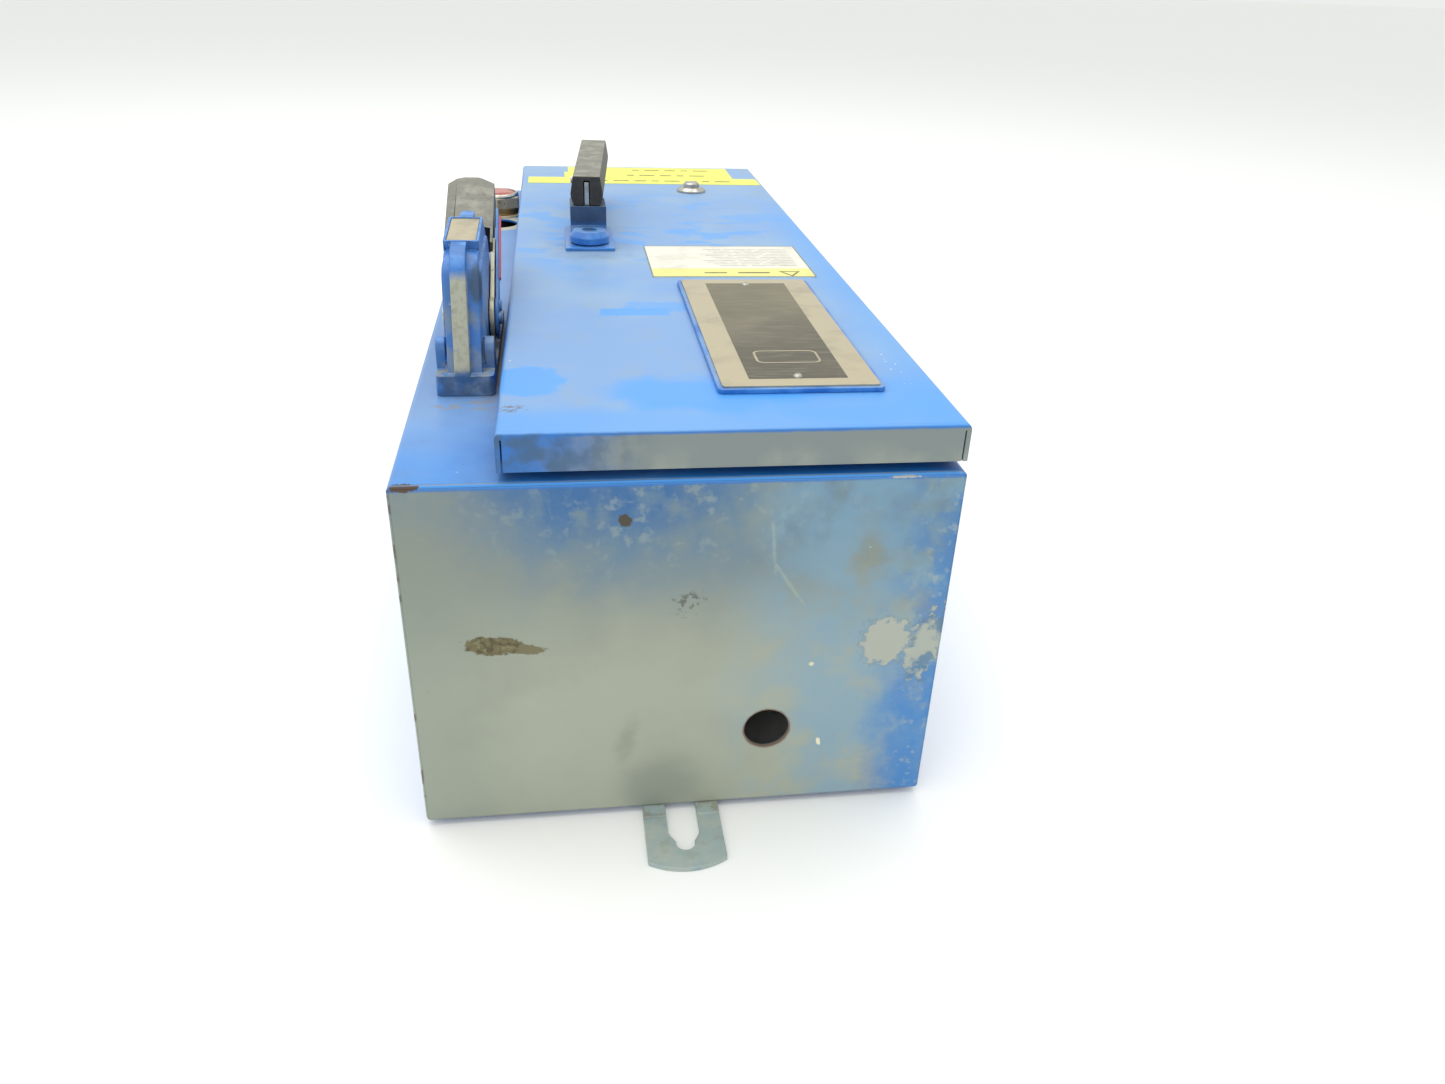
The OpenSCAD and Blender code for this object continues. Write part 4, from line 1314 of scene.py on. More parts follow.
    def grip(self) -> Finish:
        """Moulded black phenolic, dusty on top and shiny-worn on its edges; its grey top is partly a
        painted sheen, and its faces towards the top end carry painted shade.

        Returns:
            The finish of the lever's grip and the latch's grip.
        """
        return Finish(
            "black_phenolic_dust_and_painted_light",
            "#2e2d2a",
            rough=0.46,
            grain=0.05,
            grain_size=0.8,
            layers=(
                Layer("#4b4944", (Cloud(12.0, 0.4, 0.62),), 0.5, rough=0.55),
                # Grey over the upward faces: dust together with a painted sheen of the overhead light
                Layer("#8d8c80", (Facing(Axis.Z, 0.35, 0.9),), 0.62, rough=0.55),
                Layer(
                    "#a3a294",
                    (Facing(Axis.Z, 0.5, 0.95), Cloud(10.0, 0.42, 0.66, shift=5.0)),
                    0.5,
                    rough=0.6,
                ),
                Layer("#5c5747", (Cloud(2.2, 0.56, 0.68),), 0.5, rough=0.7),
                # Painted shade: darker on the faces that look towards the top end
                Layer("#1f1e1c", (Facing(Axis.Y, -0.6, -0.95),), 0.6, rough=0.5),
            ),
        )

    def phenolic(self) -> Finish:
        """Brown-black phenolic mouldings: semi-gloss with faint flow marks.

        Returns:
            The finish of the switch's base, the fuse base and the rotor.
        """
        return Finish(
            "moulded_brown_phenolic",
            "#33241c",
            rough=0.38,
            grain=0.03,
            grain_size=1.2,
            layers=(
                Layer("#46352a", (Cloud(25.0, 0.42, 0.64, stretch=(1.0, 3.0, 1.0)),), 0.6, rough=0.45),
                Layer("#8c8578", (Facing(Axis.Z), Cloud(14.0, 0.5, 0.72)), 0.3, rough=0.7),
            ),
        )

    def black_plastic(self) -> Finish:
        """Moulded black nylon with a fine spark-eroded texture.

        Returns:
            The finish of the starter's housings and the pilot light's body.
        """
        return Finish(
            "moulded_black_nylon",
            "#1d1e20",
            rough=0.45,
            grain=0.03,
            grain_size=0.5,
            layers=(Layer("#5d5c58", (Facing(Axis.Z), Cloud(16.0, 0.48, 0.7)), 0.3, rough=0.65),),
        )

    def cream_plastic(self) -> Finish:
        """Cream nylon, yellowed by heat and age.

        Returns:
            The finish of the pilot light's ring and the crossbar.
        """
        return Finish(
            "yellowed_cream_nylon",
            "#cdc6ab",
            rough=0.42,
            layers=(
                Layer("#a8997a", (Cloud(8.0, 0.45, 0.66),), 0.5, rough=0.55),
                Layer("#6d6656", (Specks(4.0, 0.4, 0.25),), 0.5, rough=0.7),
            ),
        )

    def copper(self) -> Finish:
        """Bare copper, browned, with brighter rubbed faces.

        Returns:
            The finish of jaws, clips and caps.
        """
        return Finish(
            "browned_bare_copper",
            "#b87048",
            rough=0.34,
            metal=1.0,
            grain=0.01,
            grain_size=0.7,
            layers=(Layer("#7a4a30", (Cloud(8.0, 0.42, 0.64),), 0.6, rough=0.5),),
        )

    def brass(self) -> Finish:
        """Rolled brass with a tan tarnish.

        Returns:
            The finish of the terminals, the heaters and the pilot light's washers.
        """
        return Finish(
            "tarnished_rolled_brass",
            "#bf9f68",
            rough=0.38,
            metal=1.0,
            layers=(Layer("#7d6844", (Cloud(6.0, 0.44, 0.64),), 0.6, rough=0.55),),
        )

    def aluminium(self) -> Finish:
        """Turned aluminium with fine tool rings and grey oxide.

        Returns:
            The finish of the reset button, the rivets and the lugs.
        """
        return Finish(
            "turned_aluminium",
            "#bdbcb6",
            rough=0.36,
            metal=0.9,
            grain=0.01,
            grain_size=0.4,
            layers=(Layer("#8b877c", (Cloud(5.0, 0.46, 0.66),), 0.6, rough=0.55),),
        )

    def nameplate(self) -> Finish:
        """Champagne anodised aluminium, brushed along its length, with dark dirt marks.

        Returns:
            The finish of the nameplate, its blank frame and the handle's small plate.
        """
        return Finish(
            "brushed_champagne_anodising",
            "#c0b69a",
            rough=0.36,
            metal=0.6,
            grain=0.012,
            grain_size=0.35,
            grain_stretch=(1.0, 60.0, 1.0),
            layers=(
                Layer("#c3b698", (Cloud(1.2, 0.4, 0.6, stretch=(1.0, 60.0, 1.0)),), 0.45, rough=0.4),
                Layer("#8e877a", (Cloud(30.0, 0.48, 0.7),), 0.45, rough=0.5),
                Layer("#5f574a", (Specks(9.0, 0.35, 0.3),), 0.6, rough=0.7),
            ),
        )

    def nameplate_field(self) -> Finish:
        """Printed dark field on the nameplate: warm grey under a haze of fine scratches.

        Returns:
            The finish of the nameplate's middle.
        """
        return Finish(
            "printed_dark_field",
            "#524c3d",
            rough=0.42,
            metal=0.25,
            grain=0.006,
            grain_size=0.5,
            grain_stretch=(1.0, 30.0, 1.0),
            layers=(
                Layer("#7d7660", (Cloud(45.0, 0.4, 0.68),), 0.45, rough=0.5),
                # Chalky towards the bottom end, where it was wiped less
                Layer("#8f886c", (Ramp(Axis.Y, -225.0, -120.0, 10.0, 30.0),), 0.4, rough=0.55),
                Layer("#8d897a", (Cloud(2.0, 0.5, 0.64, stretch=(8.0, 1.0, 1.0)),), 0.3, rough=0.5),
                Layer("#3c3a36", (Specks(12.0, 0.5, 0.3),), 0.6, rough=0.7),
            ),
        )

    def vinyl(self, name: str, colour: str, aged: str) -> Finish:
        """Printed vinyl label: satin, a little dirty.

        Args:
            name: The material's name.
            colour: The label's colour.
            aged: The colour of its stains.

        Returns:
            The finish.
        """
        return Finish(
            name,
            colour,
            rough=0.42,
            layers=(
                Layer(aged, (Cloud(18.0, 0.48, 0.7),), 0.45, rough=0.55),
                Layer("#6a6656", (Specks(8.0, 0.4, 0.2),), 0.5, rough=0.7),
            ),
        )

    def ink(self) -> Finish:
        """Grey label ink, rubbed thin.

        Returns:
            The finish of the rows on the white label.
        """
        return Finish(
            "worn_label_ink",
            "#8f8e84",
            rough=0.5,
            layers=(Layer("#c8c6b8", (Cloud(4.0, 0.4, 0.6),), 0.7, rough=0.5),),
        )

    def dark_ink(self) -> Finish:
        """Dark ink, brown-green where it is thin over yellow.

        Returns:
            The finish of the bars, the triangle and the label's border.
        """
        return Finish(
            "dark_label_ink",
            "#5d5c38",
            rough=0.5,
            layers=(Layer("#8f8e48", (Cloud(5.0, 0.42, 0.62),), 0.6, rough=0.5),),
        )

    def lens(self) -> Finish:
        """Faded red acrylic lens under a film of dust.

        Returns:
            The finish of the pilot light's lens.
        """
        return Finish(
            "faded_red_acrylic",
            "#a8382c",
            rough=0.25,
            coat=0.4,
            coat_rough=0.15,
            layers=(Layer("#c07a68", (Cloud(7.0, 0.4, 0.65),), 0.6, rough=0.45),),
        )

    def chrome(self) -> Finish:
        """Worn bright chromium plating.

        Returns:
            The finish of the pilot light's bezel.
        """
        return Finish(
            "worn_chromium_plating",
            "#c6c4ba",
            rough=0.24,
            metal=1.0,
            layers=(Layer("#8c8470", (Cloud(6.0, 0.48, 0.66),), 0.7, rough=0.5),),
        )

    def tan_nut(self) -> Finish:
        """Die-cast ring nut, its plating gone to a tan bloom.

        Returns:
            The finish of the pilot light's ring nut.
        """
        return Finish(
            "bloomed_die_cast_zinc",
            "#a89f88",
            rough=0.45,
            metal=0.3,
            layers=(
                Layer("#c9c2aa", (Cloud(7.0, 0.42, 0.6),), 0.6, rough=0.5),
                Layer("#5e5444", (Cloud(3.5, 0.56, 0.68, shift=6.0),), 0.7, rough=0.7),
            ),
        )

    def fibre(self) -> Finish:
        """Red-brown vulcanised fibre of the fuse tubes.

        Returns:
            The finish of the fuse tubes.
        """
        return Finish(
            "vulcanised_fibre",
            "#8a5236",
            rough=0.5,
            grain=0.02,
            grain_size=0.7,
            layers=(Layer("#a5694a", (Cloud(9.0, 0.42, 0.62),), 0.5, rough=0.55),),
        )

    def rubber(self) -> Finish:
        """Closed-cell foam rubber with fine pores.

        Returns:
            The finish of the door gasket.
        """
        return Finish(
            "foam_rubber",
            "#232325",
            rough=0.8,
            grain=0.15,
            grain_size=0.7,
            layers=(Layer("#3a3a3c", (Specks(1.4, 0.4, 0.6),), 0.6),),
        )

    def shield(self) -> Finish:
        """Clear polycarbonate, lightly scuffed.

        Returns:
            The finish of the line shield.
        """
        return Finish(
            "clear_polycarbonate",
            "#dfe8ea",
            rough=0.12,
            ior=1.58,
            alpha=0.28,
            layers=(Layer("#f2f5f5", (Cloud(12.0, 0.5, 0.7),), 0.5, rough=0.3),),
        )

    def tape(self) -> Finish:
        """Varnished cotton tape wound round the coil.

        Returns:
            The finish of the contactor's coil.
        """
        return Finish(
            "varnished_cotton_tape",
            "#7d5a38",
            rough=0.42,
            coat=0.2,
            grain=0.15,
            grain_size=1.4,
            grain_stretch=(8.0, 8.0, 1.0),
            layers=(Layer("#5c4028", (Cloud(2.4, 0.4, 0.6, stretch=(8.0, 8.0, 1.0)),), 0.6, rough=0.5),),
        )

    def bench(self) -> Finish:
        """Pale laminate bench top under the object.

        Returns:
            The finish of the floor.
        """
        return Finish(
            "pale_bench_laminate",
            "#fafaf8",
            rough=0.6,
        )


# ---------------------------------------------------------------------------
# Workshop: turning CAD solids into finished pieces
# ---------------------------------------------------------------------------


class Make(Enum):
    """How a piece was made, which names the finished piece."""

    FORMED = "formed"
    CAST = "cast"
    MOULDED = "moulded"
    TURNED = "turned"
    PRINTED = "printed"


@dataclass(frozen=True)
class Stock:
    """How one CAD solid is finished into a shown piece.

    Attributes:
        node: The solid's node.
        finish: Its finish.
        make: How it was made.
        edge: Width of its broken edges in millimetres, 0 for none.
        steps: Segments across a broken edge.
        facet: Largest angle, in degrees, between two facets of one round face.
        merge: Whether its flat facets are merged into whole faces first.
    """

    node: str
    finish: Finish
    make: Make = Make.FORMED
    edge: float = 0.3
    steps: int = 2
    facet: float = FACET
    merge: bool = True


class Workshop:
    """Finishes pieces and fits them to the bodies of the frame."""

    def __init__(self, loaded: Dict[str, object]) -> None:
        """Read which body and which material slot each node belongs to.
        """
        record = loaded["record"]
        self.nodes: Dict[str, bpy.types.Object] = loaded["nodes"]
        self.body_of: Dict[str, str] = {
            node: body for body, names in record["behaviour"]["bodies"].items() for node in names
        }
        self.slot_of: Dict[str, str] = {s["node"]: s["material_slot"] for s in record["subparts"]}
        self.done: List[str] = []

    def finish_solid(self, stock: Stock) -> bpy.types.Object:
        """Copy one CAD solid, break its edges and dress it.

        Args:
            stock: The node and how it is finished.

        Returns:
            The finished piece, which stands for the node.
        """
        source = self.nodes[stock.node]
        shape = bmesh.new()
        shape.from_mesh(source.data)
        bmesh.ops.remove_doubles(shape, verts=shape.verts, dist=WELD * MM)
        if stock.merge:
            bmesh.ops.dissolve_limit(
                shape, angle_limit=math.radians(1.0), verts=shape.verts, edges=shape.edges
            )
        piece = self._object(f"{stock.node}_{stock.make.value}", shape, stock.finish, stock.facet)
        if stock.edge:
            self._break_edges(piece, stock.edge, stock.steps, stock.facet)
        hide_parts(stock.node)
        self.fit(piece, self.body_of[stock.node])
        return piece

    def add_piece(
        self, name: str, shape: bmesh.types.BMesh, finish: Finish, node: str, edge: float = 0.0
    ) -> bpy.types.Object:
        """Make a new piece that goes with a CAD node.

        Args:
            name: The piece's name.
            shape: Its mesh, in place in the frame.
            finish: Its finish.
            node: The node whose body it shares.
            edge: Width of its broken edges in millimetres.

        Returns:
            The piece.
        """
        piece = self._object(name, shape, finish)
        if edge:
            self._break_edges(piece, edge, 2)
        self.fit(piece, self.body_of[node])
        return piece

    def fit(self, piece: bpy.types.Object, body: str) -> None:
        """Fit a piece to its body.

        Args:
            piece: The piece.
            body: The body that it rides on.
        """
        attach(piece, body)
        self.done.append(piece.name)
        LOG.info("fitted %s to %s", piece.name, body)

    @staticmethod
    def _object(
        name: str, shape: bmesh.types.BMesh, finish: Finish, facet: float = FACET
    ) -> bpy.types.Object:
        """Turn a bmesh into a dressed object, with its faces smooth.

        Args:
            name: The object's name.
            shape: The mesh, which is freed.
            finish: The finish it wears.
            facet: Largest angle, in degrees, between two facets of one round face.

        Returns:
            The object.
        """
        mesh = bpy.data.meshes.new(name)
        shape.to_mesh(mesh)
        shape.free()
        mesh.materials.append(finish.material())
        for face in mesh.polygons:
            face.use_smooth = True
        made = bpy.data.objects.new(name, mesh)
        bpy.context.scene.collection.objects.link(made)
        mesh.set_sharp_from_angle(angle=math.radians(facet + 2.0))
        return made

    @staticmethod
    def _break_edges(
        piece: bpy.types.Object, width: float, steps: int, facet: float = FACET
    ) -> None:
        """Round a piece's sharp edges.

        Args:
            piece: The piece.
            width: The rounding's width in millimetres.
            steps: Segments across the rounding.
            facet: Largest angle, in degrees, between two facets of one round face.
        """
        bevel = piece.modifiers.new("broken_edges", "BEVEL")
        bevel.width = width * MM
        bevel.segments = steps
        bevel.limit_method = "ANGLE"
        bevel.angle_limit = math.radians(facet)
        bevel.use_clamp_overlap = False
        bevel.miter_outer = "MITER_ARC"
        normals = piece.modifiers.new("face_normals", "WEIGHTED_NORMAL")
        normals.keep_sharp = False
        normals.weight = 80


def plate_bar(
    shape: bmesh.types.BMesh, x: float, y: float, z: float, wide: float, long: float, turn: float = 0.0
) -> None:
    """Add a flat printed bar to a mesh.

    Args:
        shape: The mesh that takes the bar.
        x: Middle of the bar, in millimetres.
        y: Middle of the bar, in millimetres.
        z: Height of the bar, in millimetres.
        wide: Its size across, in millimetres.
        long: Its size along, in millimetres.
        turn: How far it is turned, in degrees.
    """
    place = (
        Matrix.Translation(Vector((x, y, z)) * MM)
        @ Matrix.Rotation(math.radians(turn), 4, "Z")
        @ Matrix.Diagonal((wide * MM, long * MM, 1.0, 1.0))
    )
    bmesh.ops.create_grid(shape, x_segments=1, y_segments=1, size=0.5, matrix=place)


def leave_border(shape: bmesh.types.BMesh, wide: float) -> None:
    """Cut the middle out of a single flat face, so that only its border is left.

    Args:
        shape: The mesh, which holds that one face.
        wide: The border's width in millimetres.
    """
    bmesh.ops.inset_region(
        shape, faces=list(shape.faces), thickness=wide * MM, use_boundary=True, use_even_offset=True
    )
    inner = max(shape.faces, key=lambda face: face.calc_area())
    bmesh.ops.delete(shape, geom=[inner], context="FACES")


# ---------------------------------------------------------------------------
# Sub-assemblies
# ---------------------------------------------------------------------------


@dataclass
class Enclosure:
    """The box: its wrap, flange, end plates, tabs, panel and hinges."""

    paints: Paintshop
    sheet_edge: float = 0.35

    def build(self, shop: Workshop) -> None:
        """Finish every solid of the box.

        Args:
            shop: The workshop.
        """
        paints, edge = self.paints, self.sheet_edge
        flange = paints.flange_enamel()
        for stock in (
            Stock("enclosure_wrap", flange, edge=edge),
            Stock("front_flange", flange, edge=edge),
            Stock("top_end_plate", paints.end_enamel(), edge=edge),
            Stock("bottom_end_plate", flange, edge=edge),
            Stock("top_mounting_tab", paints.tab_enamel(), edge=0.4),
            Stock("bottom_mounting_tab", paints.tab_enamel(), edge=0.4),
            Stock("mounting_panel", paints.panel_white(), edge=0.4),
            Stock("panel_studs", paints.zinc(), Make.TURNED, 0.3),
            Stock("hinge_box_leaves", paints.steel(), edge=0.2),
            Stock("hinge_pins", paints.steel(), Make.TURNED, 0.15),
            Stock("ground_lug", paints.aluminium(), edge=0.3),
        ):
            shop.finish_solid(stock)


@dataclass
class FlangeHandle:
    """The fixed casting that the lever straddles, with its small plate."""

    paints: Paintshop

    def build(self, shop: Workshop) -> None:
        """Finish the casting, its plate and its screws.

        Args:
            shop: The workshop.
        """
        paints = self.paints
        shop.finish_solid(Stock("handle_base", paints.cast_enamel(), Make.CAST, 0.5, 3, 12.0))
        shop.finish_solid(Stock("handle_plate", paints.nameplate(), edge=0.0, merge=False))
        shop.finish_solid(Stock("handle_screws", paints.zinc(), Make.TURNED, 0.25))


@dataclass
class PilotLight:
    """The pilot light in the flange, from its ring to its lens."""

    paints: Paintshop

    def build(self, shop: Workshop) -> None:
        """Finish the pilot light's stack.

        Args:
            shop: The workshop.
        """
        paints = self.paints
        for stock in (
            Stock("pilot_legend_ring", paints.cream_plastic(), Make.MOULDED, 0.3),
            Stock("pilot_washers", paints.brass(), Make.TURNED, 0.2),
            Stock("pilot_ring_nut", paints.tan_nut(), Make.TURNED, 0.5),
            Stock("pilot_bezel", paints.chrome(), Make.TURNED, 0.3),
            Stock("pilot_lens", paints.lens(), Make.MOULDED, 0.5, 3),
            Stock("pilot_body", paints.black_plastic(), Make.MOULDED, 0.4),
        ):
            shop.finish_solid(stock)


@dataclass
class KnifeSwitch:
    """The fused knife switch on the mounting panel, with its rotor and link."""

    paints: Paintshop

    def build(self, shop: Workshop) -> None:
        """Finish the switch, its fuses and its rotor.

        Args:
            shop: The workshop.
        """
        paints = self.paints
        for stock in (
            Stock("switch_base", paints.phenolic(), Make.MOULDED, 0.6),
            Stock("bearing_brackets", paints.zinc(), edge=0.4),
            Stock("line_jaws", paints.copper(), edge=0.2),
            Stock("hinge_clips", paints.copper(), edge=0.2),
            Stock("line_lugs", paints.aluminium(), edge=0.4),
            Stock("line_shield", paints.shield(), Make.MOULDED, 0.3),
            Stock("fuse_base", paints.phenolic(), Make.MOULDED, 0.6),
            Stock("fuse_clips", paints.copper(), edge=0.2),
            Stock("fuse_tubes", paints.fibre(), Make.TURNED, 0.3),
            Stock("fuse_caps", paints.copper(), Make.TURNED, 0.25),
            Stock("load_lugs", paints.aluminium(), edge=0.4),
            Stock("rotor", paints.phenolic(), Make.MOULDED, 0.3),
            Stock("connecting_link", paints.zinc(), edge=0.4),
        ):
            shop.finish_solid(stock)


@dataclass
class Starter:
    """The contactor and the overload relay."""

    paints: Paintshop

    def build(self, shop: Workshop) -> None:
        """Finish the starter's housings and metalwork.

        Args:
            shop: The workshop.
        """
        paints = self.paints
        for stock in (
            Stock("contactor_base", paints.black_plastic(), Make.MOULDED, 0.5),
            Stock("contactor_coil", paints.tape(), Make.FORMED, 0.6),
            Stock("contactor_cover", paints.black_plastic(), Make.MOULDED, 0.6),
            Stock("contactor_terminals", paints.brass(), Make.TURNED, 0.3),
            Stock("relay_body", paints.black_plastic(), Make.MOULDED, 0.6),
            Stock("relay_heaters", paints.brass(), Make.FORMED, 0.3),
            Stock("contactor_crossbar", paints.cream_plastic(), Make.MOULDED, 0.5),
        ):
            shop.finish_solid(stock)


@dataclass
class Door:
    """The door pan with its gasket, nameplate, labels and reset button.

    Attributes:
        paints: The finishes.
        print_lift: Height of a printed mark above what it is printed on.
        field_wide: Width of the nameplate's dark field.
        field_long: Length of that field.
        badge_wide: Width of the blank frame on the field.
        badge_long: Height of the blank frame.
        badge_round: Radius of its corners.
        badge_line: Width of its line.
        badge_drop: Distance from the nameplate's middle to the frame's.
        band: Height of the white label's yellow band.
        label_margin: Bare strip round the yellow band.
        label_line: Width of the label's border.
        sign_inset: Distance from the label's right side to the triangle's middle.
        sign_radius: Distance from the triangle's middle to its corners.
        sign_line: Width of the triangle's line.
        row_count: Rows of small print on the white label.
        row_pitch: Distance between two rows.
        row_rise: Distance from the yellow band to the lowest row.
        row_inset: Margin beside the rows.
        row_high: Height of a row's bars.
        row_gap: Gap between two bars in a row.
        wide_high: Height of the bars on the wide label.
        wide_gap: Gap between two of those bars.
    """

    paints: Paintshop
    print_lift: float = 0.06
    field_wide: float = 47.0
    field_long: float = 160.0
    badge_wide: float = 32.0
    badge_long: float = 18.0
    badge_round: float = 4.0
    badge_line: float = 1.1
    badge_drop: float = 50.0
    band: float = 18.4
    label_margin: float = 1.0
    label_line: float = 0.6
    sign_inset: float = 15.0
    sign_radius: float = 8.0
    sign_line: float = 1.3
    row_count: int = 11
    row_pitch: float = 4.1
    row_rise: float = 8.0
    row_inset: float = 7.0
    row_high: float = 0.7
    row_gap: float = 2.6
    wide_high: float = 3.0
    wide_gap: float = 5.0

    def build(self, shop: Workshop) -> None:
        """Finish the door and everything fixed to it.

        Args:
            shop: The workshop.
        """
        paints = self.paints
        for stock in (
            Stock("door_panel", paints.door_enamel(), edge=0.3),
            Stock("hinge_door_leaves", paints.steel(), edge=0.2),
            Stock("door_gasket", paints.rubber(), Make.MOULDED, 0.8),
            Stock("nameplate_pad", paints.plain_enamel(), edge=0.5),
            Stock("nameplate", paints.nameplate(), edge=0.15),
            Stock("nameplate_rivets", paints.aluminium(), Make.TURNED, 0.2),
            Stock("warning_label", paints.vinyl("white_vinyl", "#dedccf", "#c2bda9"), Make.PRINTED, 0.0),
            Stock("wide_label", paints.vinyl("yellow_vinyl", "#e6e660", "#cfce6e"), Make.PRINTED, 0.0),
            Stock("latch_plate", paints.plain_enamel(), edge=0.3),
            Stock("reset_bushing", paints.aluminium(), Make.TURNED, 0.35),
            Stock("reset_knob", paints.aluminium(), Make.TURNED, 0.35),
        ):
            shop.finish_solid(stock)
        self._nameplate_field(shop)
        self._nameplate_badge(shop)
        self._warning_print(shop)
        self._wide_print(shop)

    def _nameplate_field(self, shop: Workshop) -> None:
        """Print the nameplate's dark middle.

        Args:
            shop: The workshop.
        """
        centre = middle("nameplate")
        shape = bmesh.new()
        plate_bar(shape, centre.x, centre.y, centre.z + self.print_lift, self.field_wide, self.field_long)
        shop.add_piece("nameplate_field", shape, self.paints.nameplate_field(), "nameplate")

    def _nameplate_badge(self, shop: Workshop) -> None:
        """Raise a plain blank frame on the field, with nothing in it.

        Args:
            shop: The workshop.
        """
        centre = middle("nameplate")
        shape = bmesh.new()
        plate_bar(
            shape,
            centre.x,
            centre.y - self.badge_drop,
            centre.z + 2 * self.print_lift,
            self.badge_wide,
            self.badge_long,
        )
        bmesh.ops.bevel(
            shape,
            geom=list(shape.verts),
            offset=self.badge_round * MM,
            offset_type="OFFSET",
            affect="VERTICES",
            segments=6,
            profile=0.5,
            material=-1,
        )
        leave_border(shape, self.badge_line)
        shop.add_piece("nameplate_blank_frame", shape, self.paints.nameplate(), "nameplate")

    def _warning_print(self, shop: Workshop) -> None:
        """Print the white label's border, yellow band, plain triangle and grey bars.

        Args:
            shop: The workshop.
        """
        low, high = (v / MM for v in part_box("warning_label"))
        top = high.z + self.print_lift
        band = bmesh.new()
        plate_bar(
            band,
            (low.x + high.x) / 2,
            low.y + self.label_margin + self.band / 2,
            top,
            high.x - low.x - 2 * self.label_margin,
            self.band,
        )
        shop.add_piece(
            "label_yellow_band",
            band,
            self.paints.vinyl("yellow_band_ink", "#dedc86", "#cfcc80"),
            "warning_label",
        )
        border = bmesh.new()
        plate_bar(
            border,
            (low.x + high.x) / 2,
            (low.y + high.y) / 2,
            top,
            high.x - low.x,
            high.y - low.y,
        )
        leave_border(border, self.label_line)
        shop.add_piece("label_dark_border", border, self.paints.dark_ink(), "warning_label")
        mark = bmesh.new()
        bmesh.ops.create_circle(
            mark,
            cap_ends=True,
            segments=3,
            radius=self.sign_radius * MM,
            matrix=Matrix.Translation(
                Vector((high.x - self.sign_inset, low.y + self.band / 2 - 0.6, top + self.print_lift)) * MM
            )
            @ Matrix.Rotation(math.radians(60.0), 4, "Z"),
        )
        leave_border(mark, self.sign_line)
        for x, wide in ((high.x - 38.0, 20.0), (high.x - 62.0, 14.0)):
            plate_bar(mark, x, low.y + self.band / 2, top + self.print_lift, wide, 2.2)
        shop.add_piece("label_plain_symbols", mark, self.paints.dark_ink(), "warning_label")
        rows = bmesh.new()
        for row in range(self.row_count):
            y = low.y + self.band + self.row_rise + row * self.row_pitch
            x = high.x - self.row_inset
            for part in range(3):
                wide = 12.0 + 9.0 * ((row * 7 + part * 5) % 4) / 3
                if x - wide < low.x + 6.0:
                    break
                plate_bar(rows, x - wide / 2, y, top, wide, self.row_high)
                x -= wide + self.row_gap
        shop.add_piece("label_grey_rows", rows, self.paints.ink(), "warning_label")

    def _wide_print(self, shop: Workshop) -> None:
        """Print rows of plain short bars on the wide label.

        Args:
            shop: The workshop.
        """
        low, high = (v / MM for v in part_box("wide_label"))
        top = high.z + self.print_lift
        rows = bmesh.new()
        # Height of each row above the label's lower edge, and its distance from each side
        lines = ((12.5, 60.0, 30.0), (37.0, 84.0, 44.0), (61.0, 90.0, 50.0))
        for row, (rise, left, right) in enumerate(lines):
            y, start, end = low.y + rise, low.x + left, high.x - right
            x = start
            step = 0
            while x < end:
                wide = 6.0 + 7.0 * ((step * 5 + row * 3) % 3) / 2
                plate_bar(rows, x + wide / 2, y, top, wide, self.wide_high)
                x += wide + self.wide_gap
                step += 1
        shop.add_piece("wide_label_plain_bars", rows, self.paints.dark_ink(), "wide_label")


@dataclass
class Latch:
    """The latch handle that turns on the door."""

    paints: Paintshop

    def build(self, shop: Workshop) -> None:
        """Finish the latch.

        Args:
            shop: The workshop.
        """
        paints = self.paints
        for stock in (
            Stock("latch_arm", paints.plain_enamel(), Make.CAST, 0.35, 3, 12.0),
            Stock("latch_grip", paints.grip(), Make.MOULDED, 0.5, 3, 12.0),
            Stock("latch_tang", paints.steel(), edge=0.2),
            Stock("latch_shaft", paints.steel(), Make.TURNED, 0.3),
            Stock("latch_cam", paints.zinc(), edge=0.4),
        ):
            shop.finish_solid(stock)


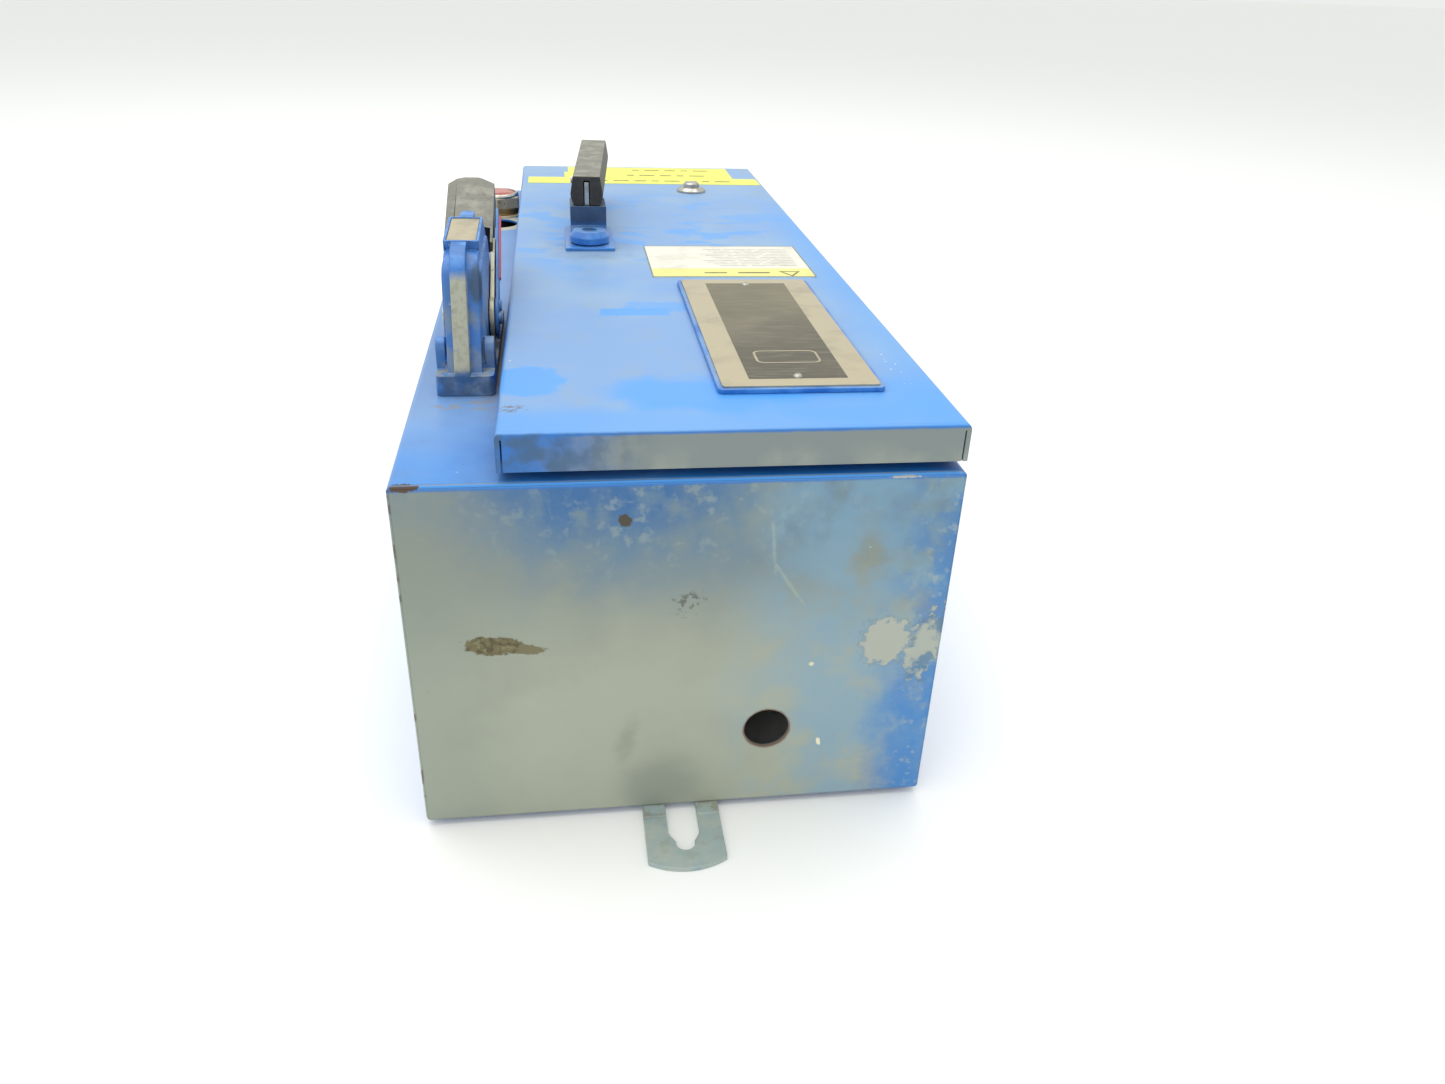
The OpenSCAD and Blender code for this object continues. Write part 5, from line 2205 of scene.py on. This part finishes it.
@dataclass
class Lever:
    """The lever that throws the switch.

    Attributes:
        paints: The finishes.
        pivot: Middle of the lever's shaft, in millimetres.
        rest: How far the lever is raised at rest, in degrees.
        arm_half: Half the height of the lever's arms, in millimetres.
        tape_start: Where the red tape begins along the arm, in millimetres.
        tape_end: Where the tape ends, in millimetres.
        tape_wide: How far the tape reaches over the arm's edge, in millimetres.
        tape_deep: How far it reaches down the arm's side, in millimetres.
        tape_lift: Thickness of the tape, in millimetres.
    """

    paints: Paintshop
    pivot: Triple = (-98.7, -140.0, 205.0)
    rest: float = 32.0
    arm_half: float = 7.5
    tape_start: float = 22.0
    tape_end: float = 68.0
    tape_wide: float = 0.9
    tape_deep: float = 2.2
    tape_lift: float = 0.12

    def build(self, shop: Workshop) -> None:
        """Finish the lever.

        Args:
            shop: The workshop.
        """
        paints = self.paints
        for stock in (
            Stock("lever_yoke", paints.zinc(), edge=0.4),
            Stock("lever_shaft", paints.steel(), Make.TURNED, 0.3),
            Stock("lever_grip", paints.grip(), Make.MOULDED, 0.3, 2, 10.0, merge=False),
            Stock("lever_cover", paints.cover_enamel(), edge=0.25),
        ):
            shop.finish_solid(stock)
        self._stripe(shop)

    def _stripe(self, shop: Workshop) -> None:
        """Fold a strip of red tape over the upper edge of the lever's cover.

        Args:
            shop: The workshop.
        """
        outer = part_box("lever_cover")[1].x / MM
        turn = Matrix.Rotation(math.radians(self.rest), 4, "X")
        place = Matrix.Translation(Vector(self.pivot) * MM) @ turn
        size = Vector((self.tape_wide, self.tape_end - self.tape_start, self.tape_deep))
        centre = Vector(
            (
                outer - self.pivot[0] - self.tape_wide / 2 + self.tape_lift,
                (self.tape_start + self.tape_end) / 2,
                self.arm_half - self.tape_deep / 2 + self.tape_lift,
            )
        )
        shape = bmesh.new()
        bmesh.ops.create_cube(
            shape,
            size=1.0,
            matrix=place @ Matrix.Translation(centre * MM) @ Matrix.Diagonal((*(size * MM), 1.0)),
        )
        shop.add_piece("lever_red_stripe", shape, self.paints.red_stripe(), "lever_cover", edge=0.1)


# ---------------------------------------------------------------------------
# Studio
# ---------------------------------------------------------------------------


@dataclass
class Studio:
    """Floor, light and camera.

    Attributes:
        paints: The finishes.
        eye: Place of the camera, in millimetres.
        yaw: Turn of the camera from straight along the box towards +X, in radians.
        pitch: How far it looks down, in radians.
        roll: Its turn about its own view, in radians.
        lens: Focal length in millimetres.
        sensor: Width of the sensor in millimetres.
        world: Colour of the light all round.
        world_strength: Strength of that light.
        lamps: Each lamp's name, place, aim, size and power.
    """

    paints: Paintshop
    eye: Triple = (-50.8, -716.7, 384.3)
    yaw: float = 0.1610
    pitch: float = 0.5036
    roll: float = 0.0428
    lens: float = 26.86
    sensor: float = 36.0
    world: str = "#f2f4f2"
    world_strength: float = 0.95
    lamps: Sequence[Tuple[str, Triple, Triple, float, float]] = field(
        default_factory=lambda: (
            ("overhead", (-0.2, 0.3, 2.2), (0.0, 0.0, 0.1), 2.4, 34.0),
            ("front_fill", (-1.2, -2.2, 1.3), (0.0, -0.2, 0.1), 1.6, 10.0),
        )
    )

    def build(self) -> None:
        """Lay the floor and set the world, the lamps and the camera."""
        self._floor()
        self._world()
        for name, place, aim, size, power in self.lamps:
            self._lamp(name, place, aim, size, power)
        self._camera()

    def _floor(self) -> None:
        """Lay a plain pale bench top under the object."""
        shape = bmesh.new()
        bmesh.ops.create_grid(shape, x_segments=1, y_segments=1, size=15.0)
        mesh = bpy.data.meshes.new("bench_top")
        shape.to_mesh(mesh)
        shape.free()
        mesh.materials.append(self.paints.bench().material())
        floor = bpy.data.objects.new("bench_top", mesh)
        bpy.context.scene.collection.objects.link(floor)

    def _world(self) -> None:
        """Surround the scene with an even pale light."""
        world = bpy.data.worlds.new("pale_room")
        world.use_nodes = True
        sky = world.node_tree.nodes["Background"]
        sky.inputs["Color"].default_value = paint_colour(self.world)
        sky.inputs["Strength"].default_value = self.world_strength
        bpy.context.scene.world = world
        bpy.context.scene.view_settings.view_transform = "Standard"

    @staticmethod
    def _lamp(name: str, place: Triple, aim: Triple, size: float, power: float) -> None:
        """Hang one soft square lamp.

        Args:
            name: The lamp's name.
            place: Where it hangs, in metres.
            aim: What it points at, in metres.
            size: Its side, in metres.
            power: Its power in watts.
        """
        data = bpy.data.lights.new(name, "AREA")
        data.shape = "SQUARE"
        data.size = size
        data.energy = power
        lamp = bpy.data.objects.new(name, data)
        lamp.location = place
        towards = Vector(aim) - Vector(place)
        lamp.rotation_euler = towards.to_track_quat("-Z", "Y").to_euler()
        bpy.context.scene.collection.objects.link(lamp)

    def _camera(self) -> None:
        """Stand the camera before the top end, looking down along the door."""
        data = bpy.data.cameras.new("viewpoint")
        data.lens = self.lens
        data.sensor_width = self.sensor
        data.clip_start = 0.01
        camera = bpy.data.objects.new("viewpoint", data)
        ahead = Vector(
            (
                math.sin(self.yaw) * math.cos(self.pitch),
                math.cos(self.yaw) * math.cos(self.pitch),
                -math.sin(self.pitch),
            )
        )
        level = Vector((math.cos(self.yaw), -math.sin(self.yaw), 0.0))
        above = level.cross(ahead)
        right = math.cos(self.roll) * level + math.sin(self.roll) * above
        up = -math.sin(self.roll) * level + math.cos(self.roll) * above
        turn = Matrix((right, up, -ahead)).transposed().to_4x4()
        camera.matrix_world = Matrix.Translation(Vector(self.eye) * MM) @ turn
        bpy.context.scene.collection.objects.link(camera)
        bpy.context.scene.camera = camera


def main() -> None:
    """Build the studio and every sub-assembly."""
    logging.basicConfig(level=logging.INFO, format="%(name)s: %(message)s")
    paints = Paintshop()
    Studio(paints).build()
    shop = Workshop(frame)
    for part in (
        Enclosure(paints),
        FlangeHandle(paints),
        PilotLight(paints),
        KnifeSwitch(paints),
        Starter(paints),
        Door(paints),
        Latch(paints),
        Lever(paints),
    ):
        LOG.info("building %s", type(part).__name__)
        part.build(shop)
    LOG.info("%d pieces", len(shop.done))


if __name__ == "__main__":
    main()
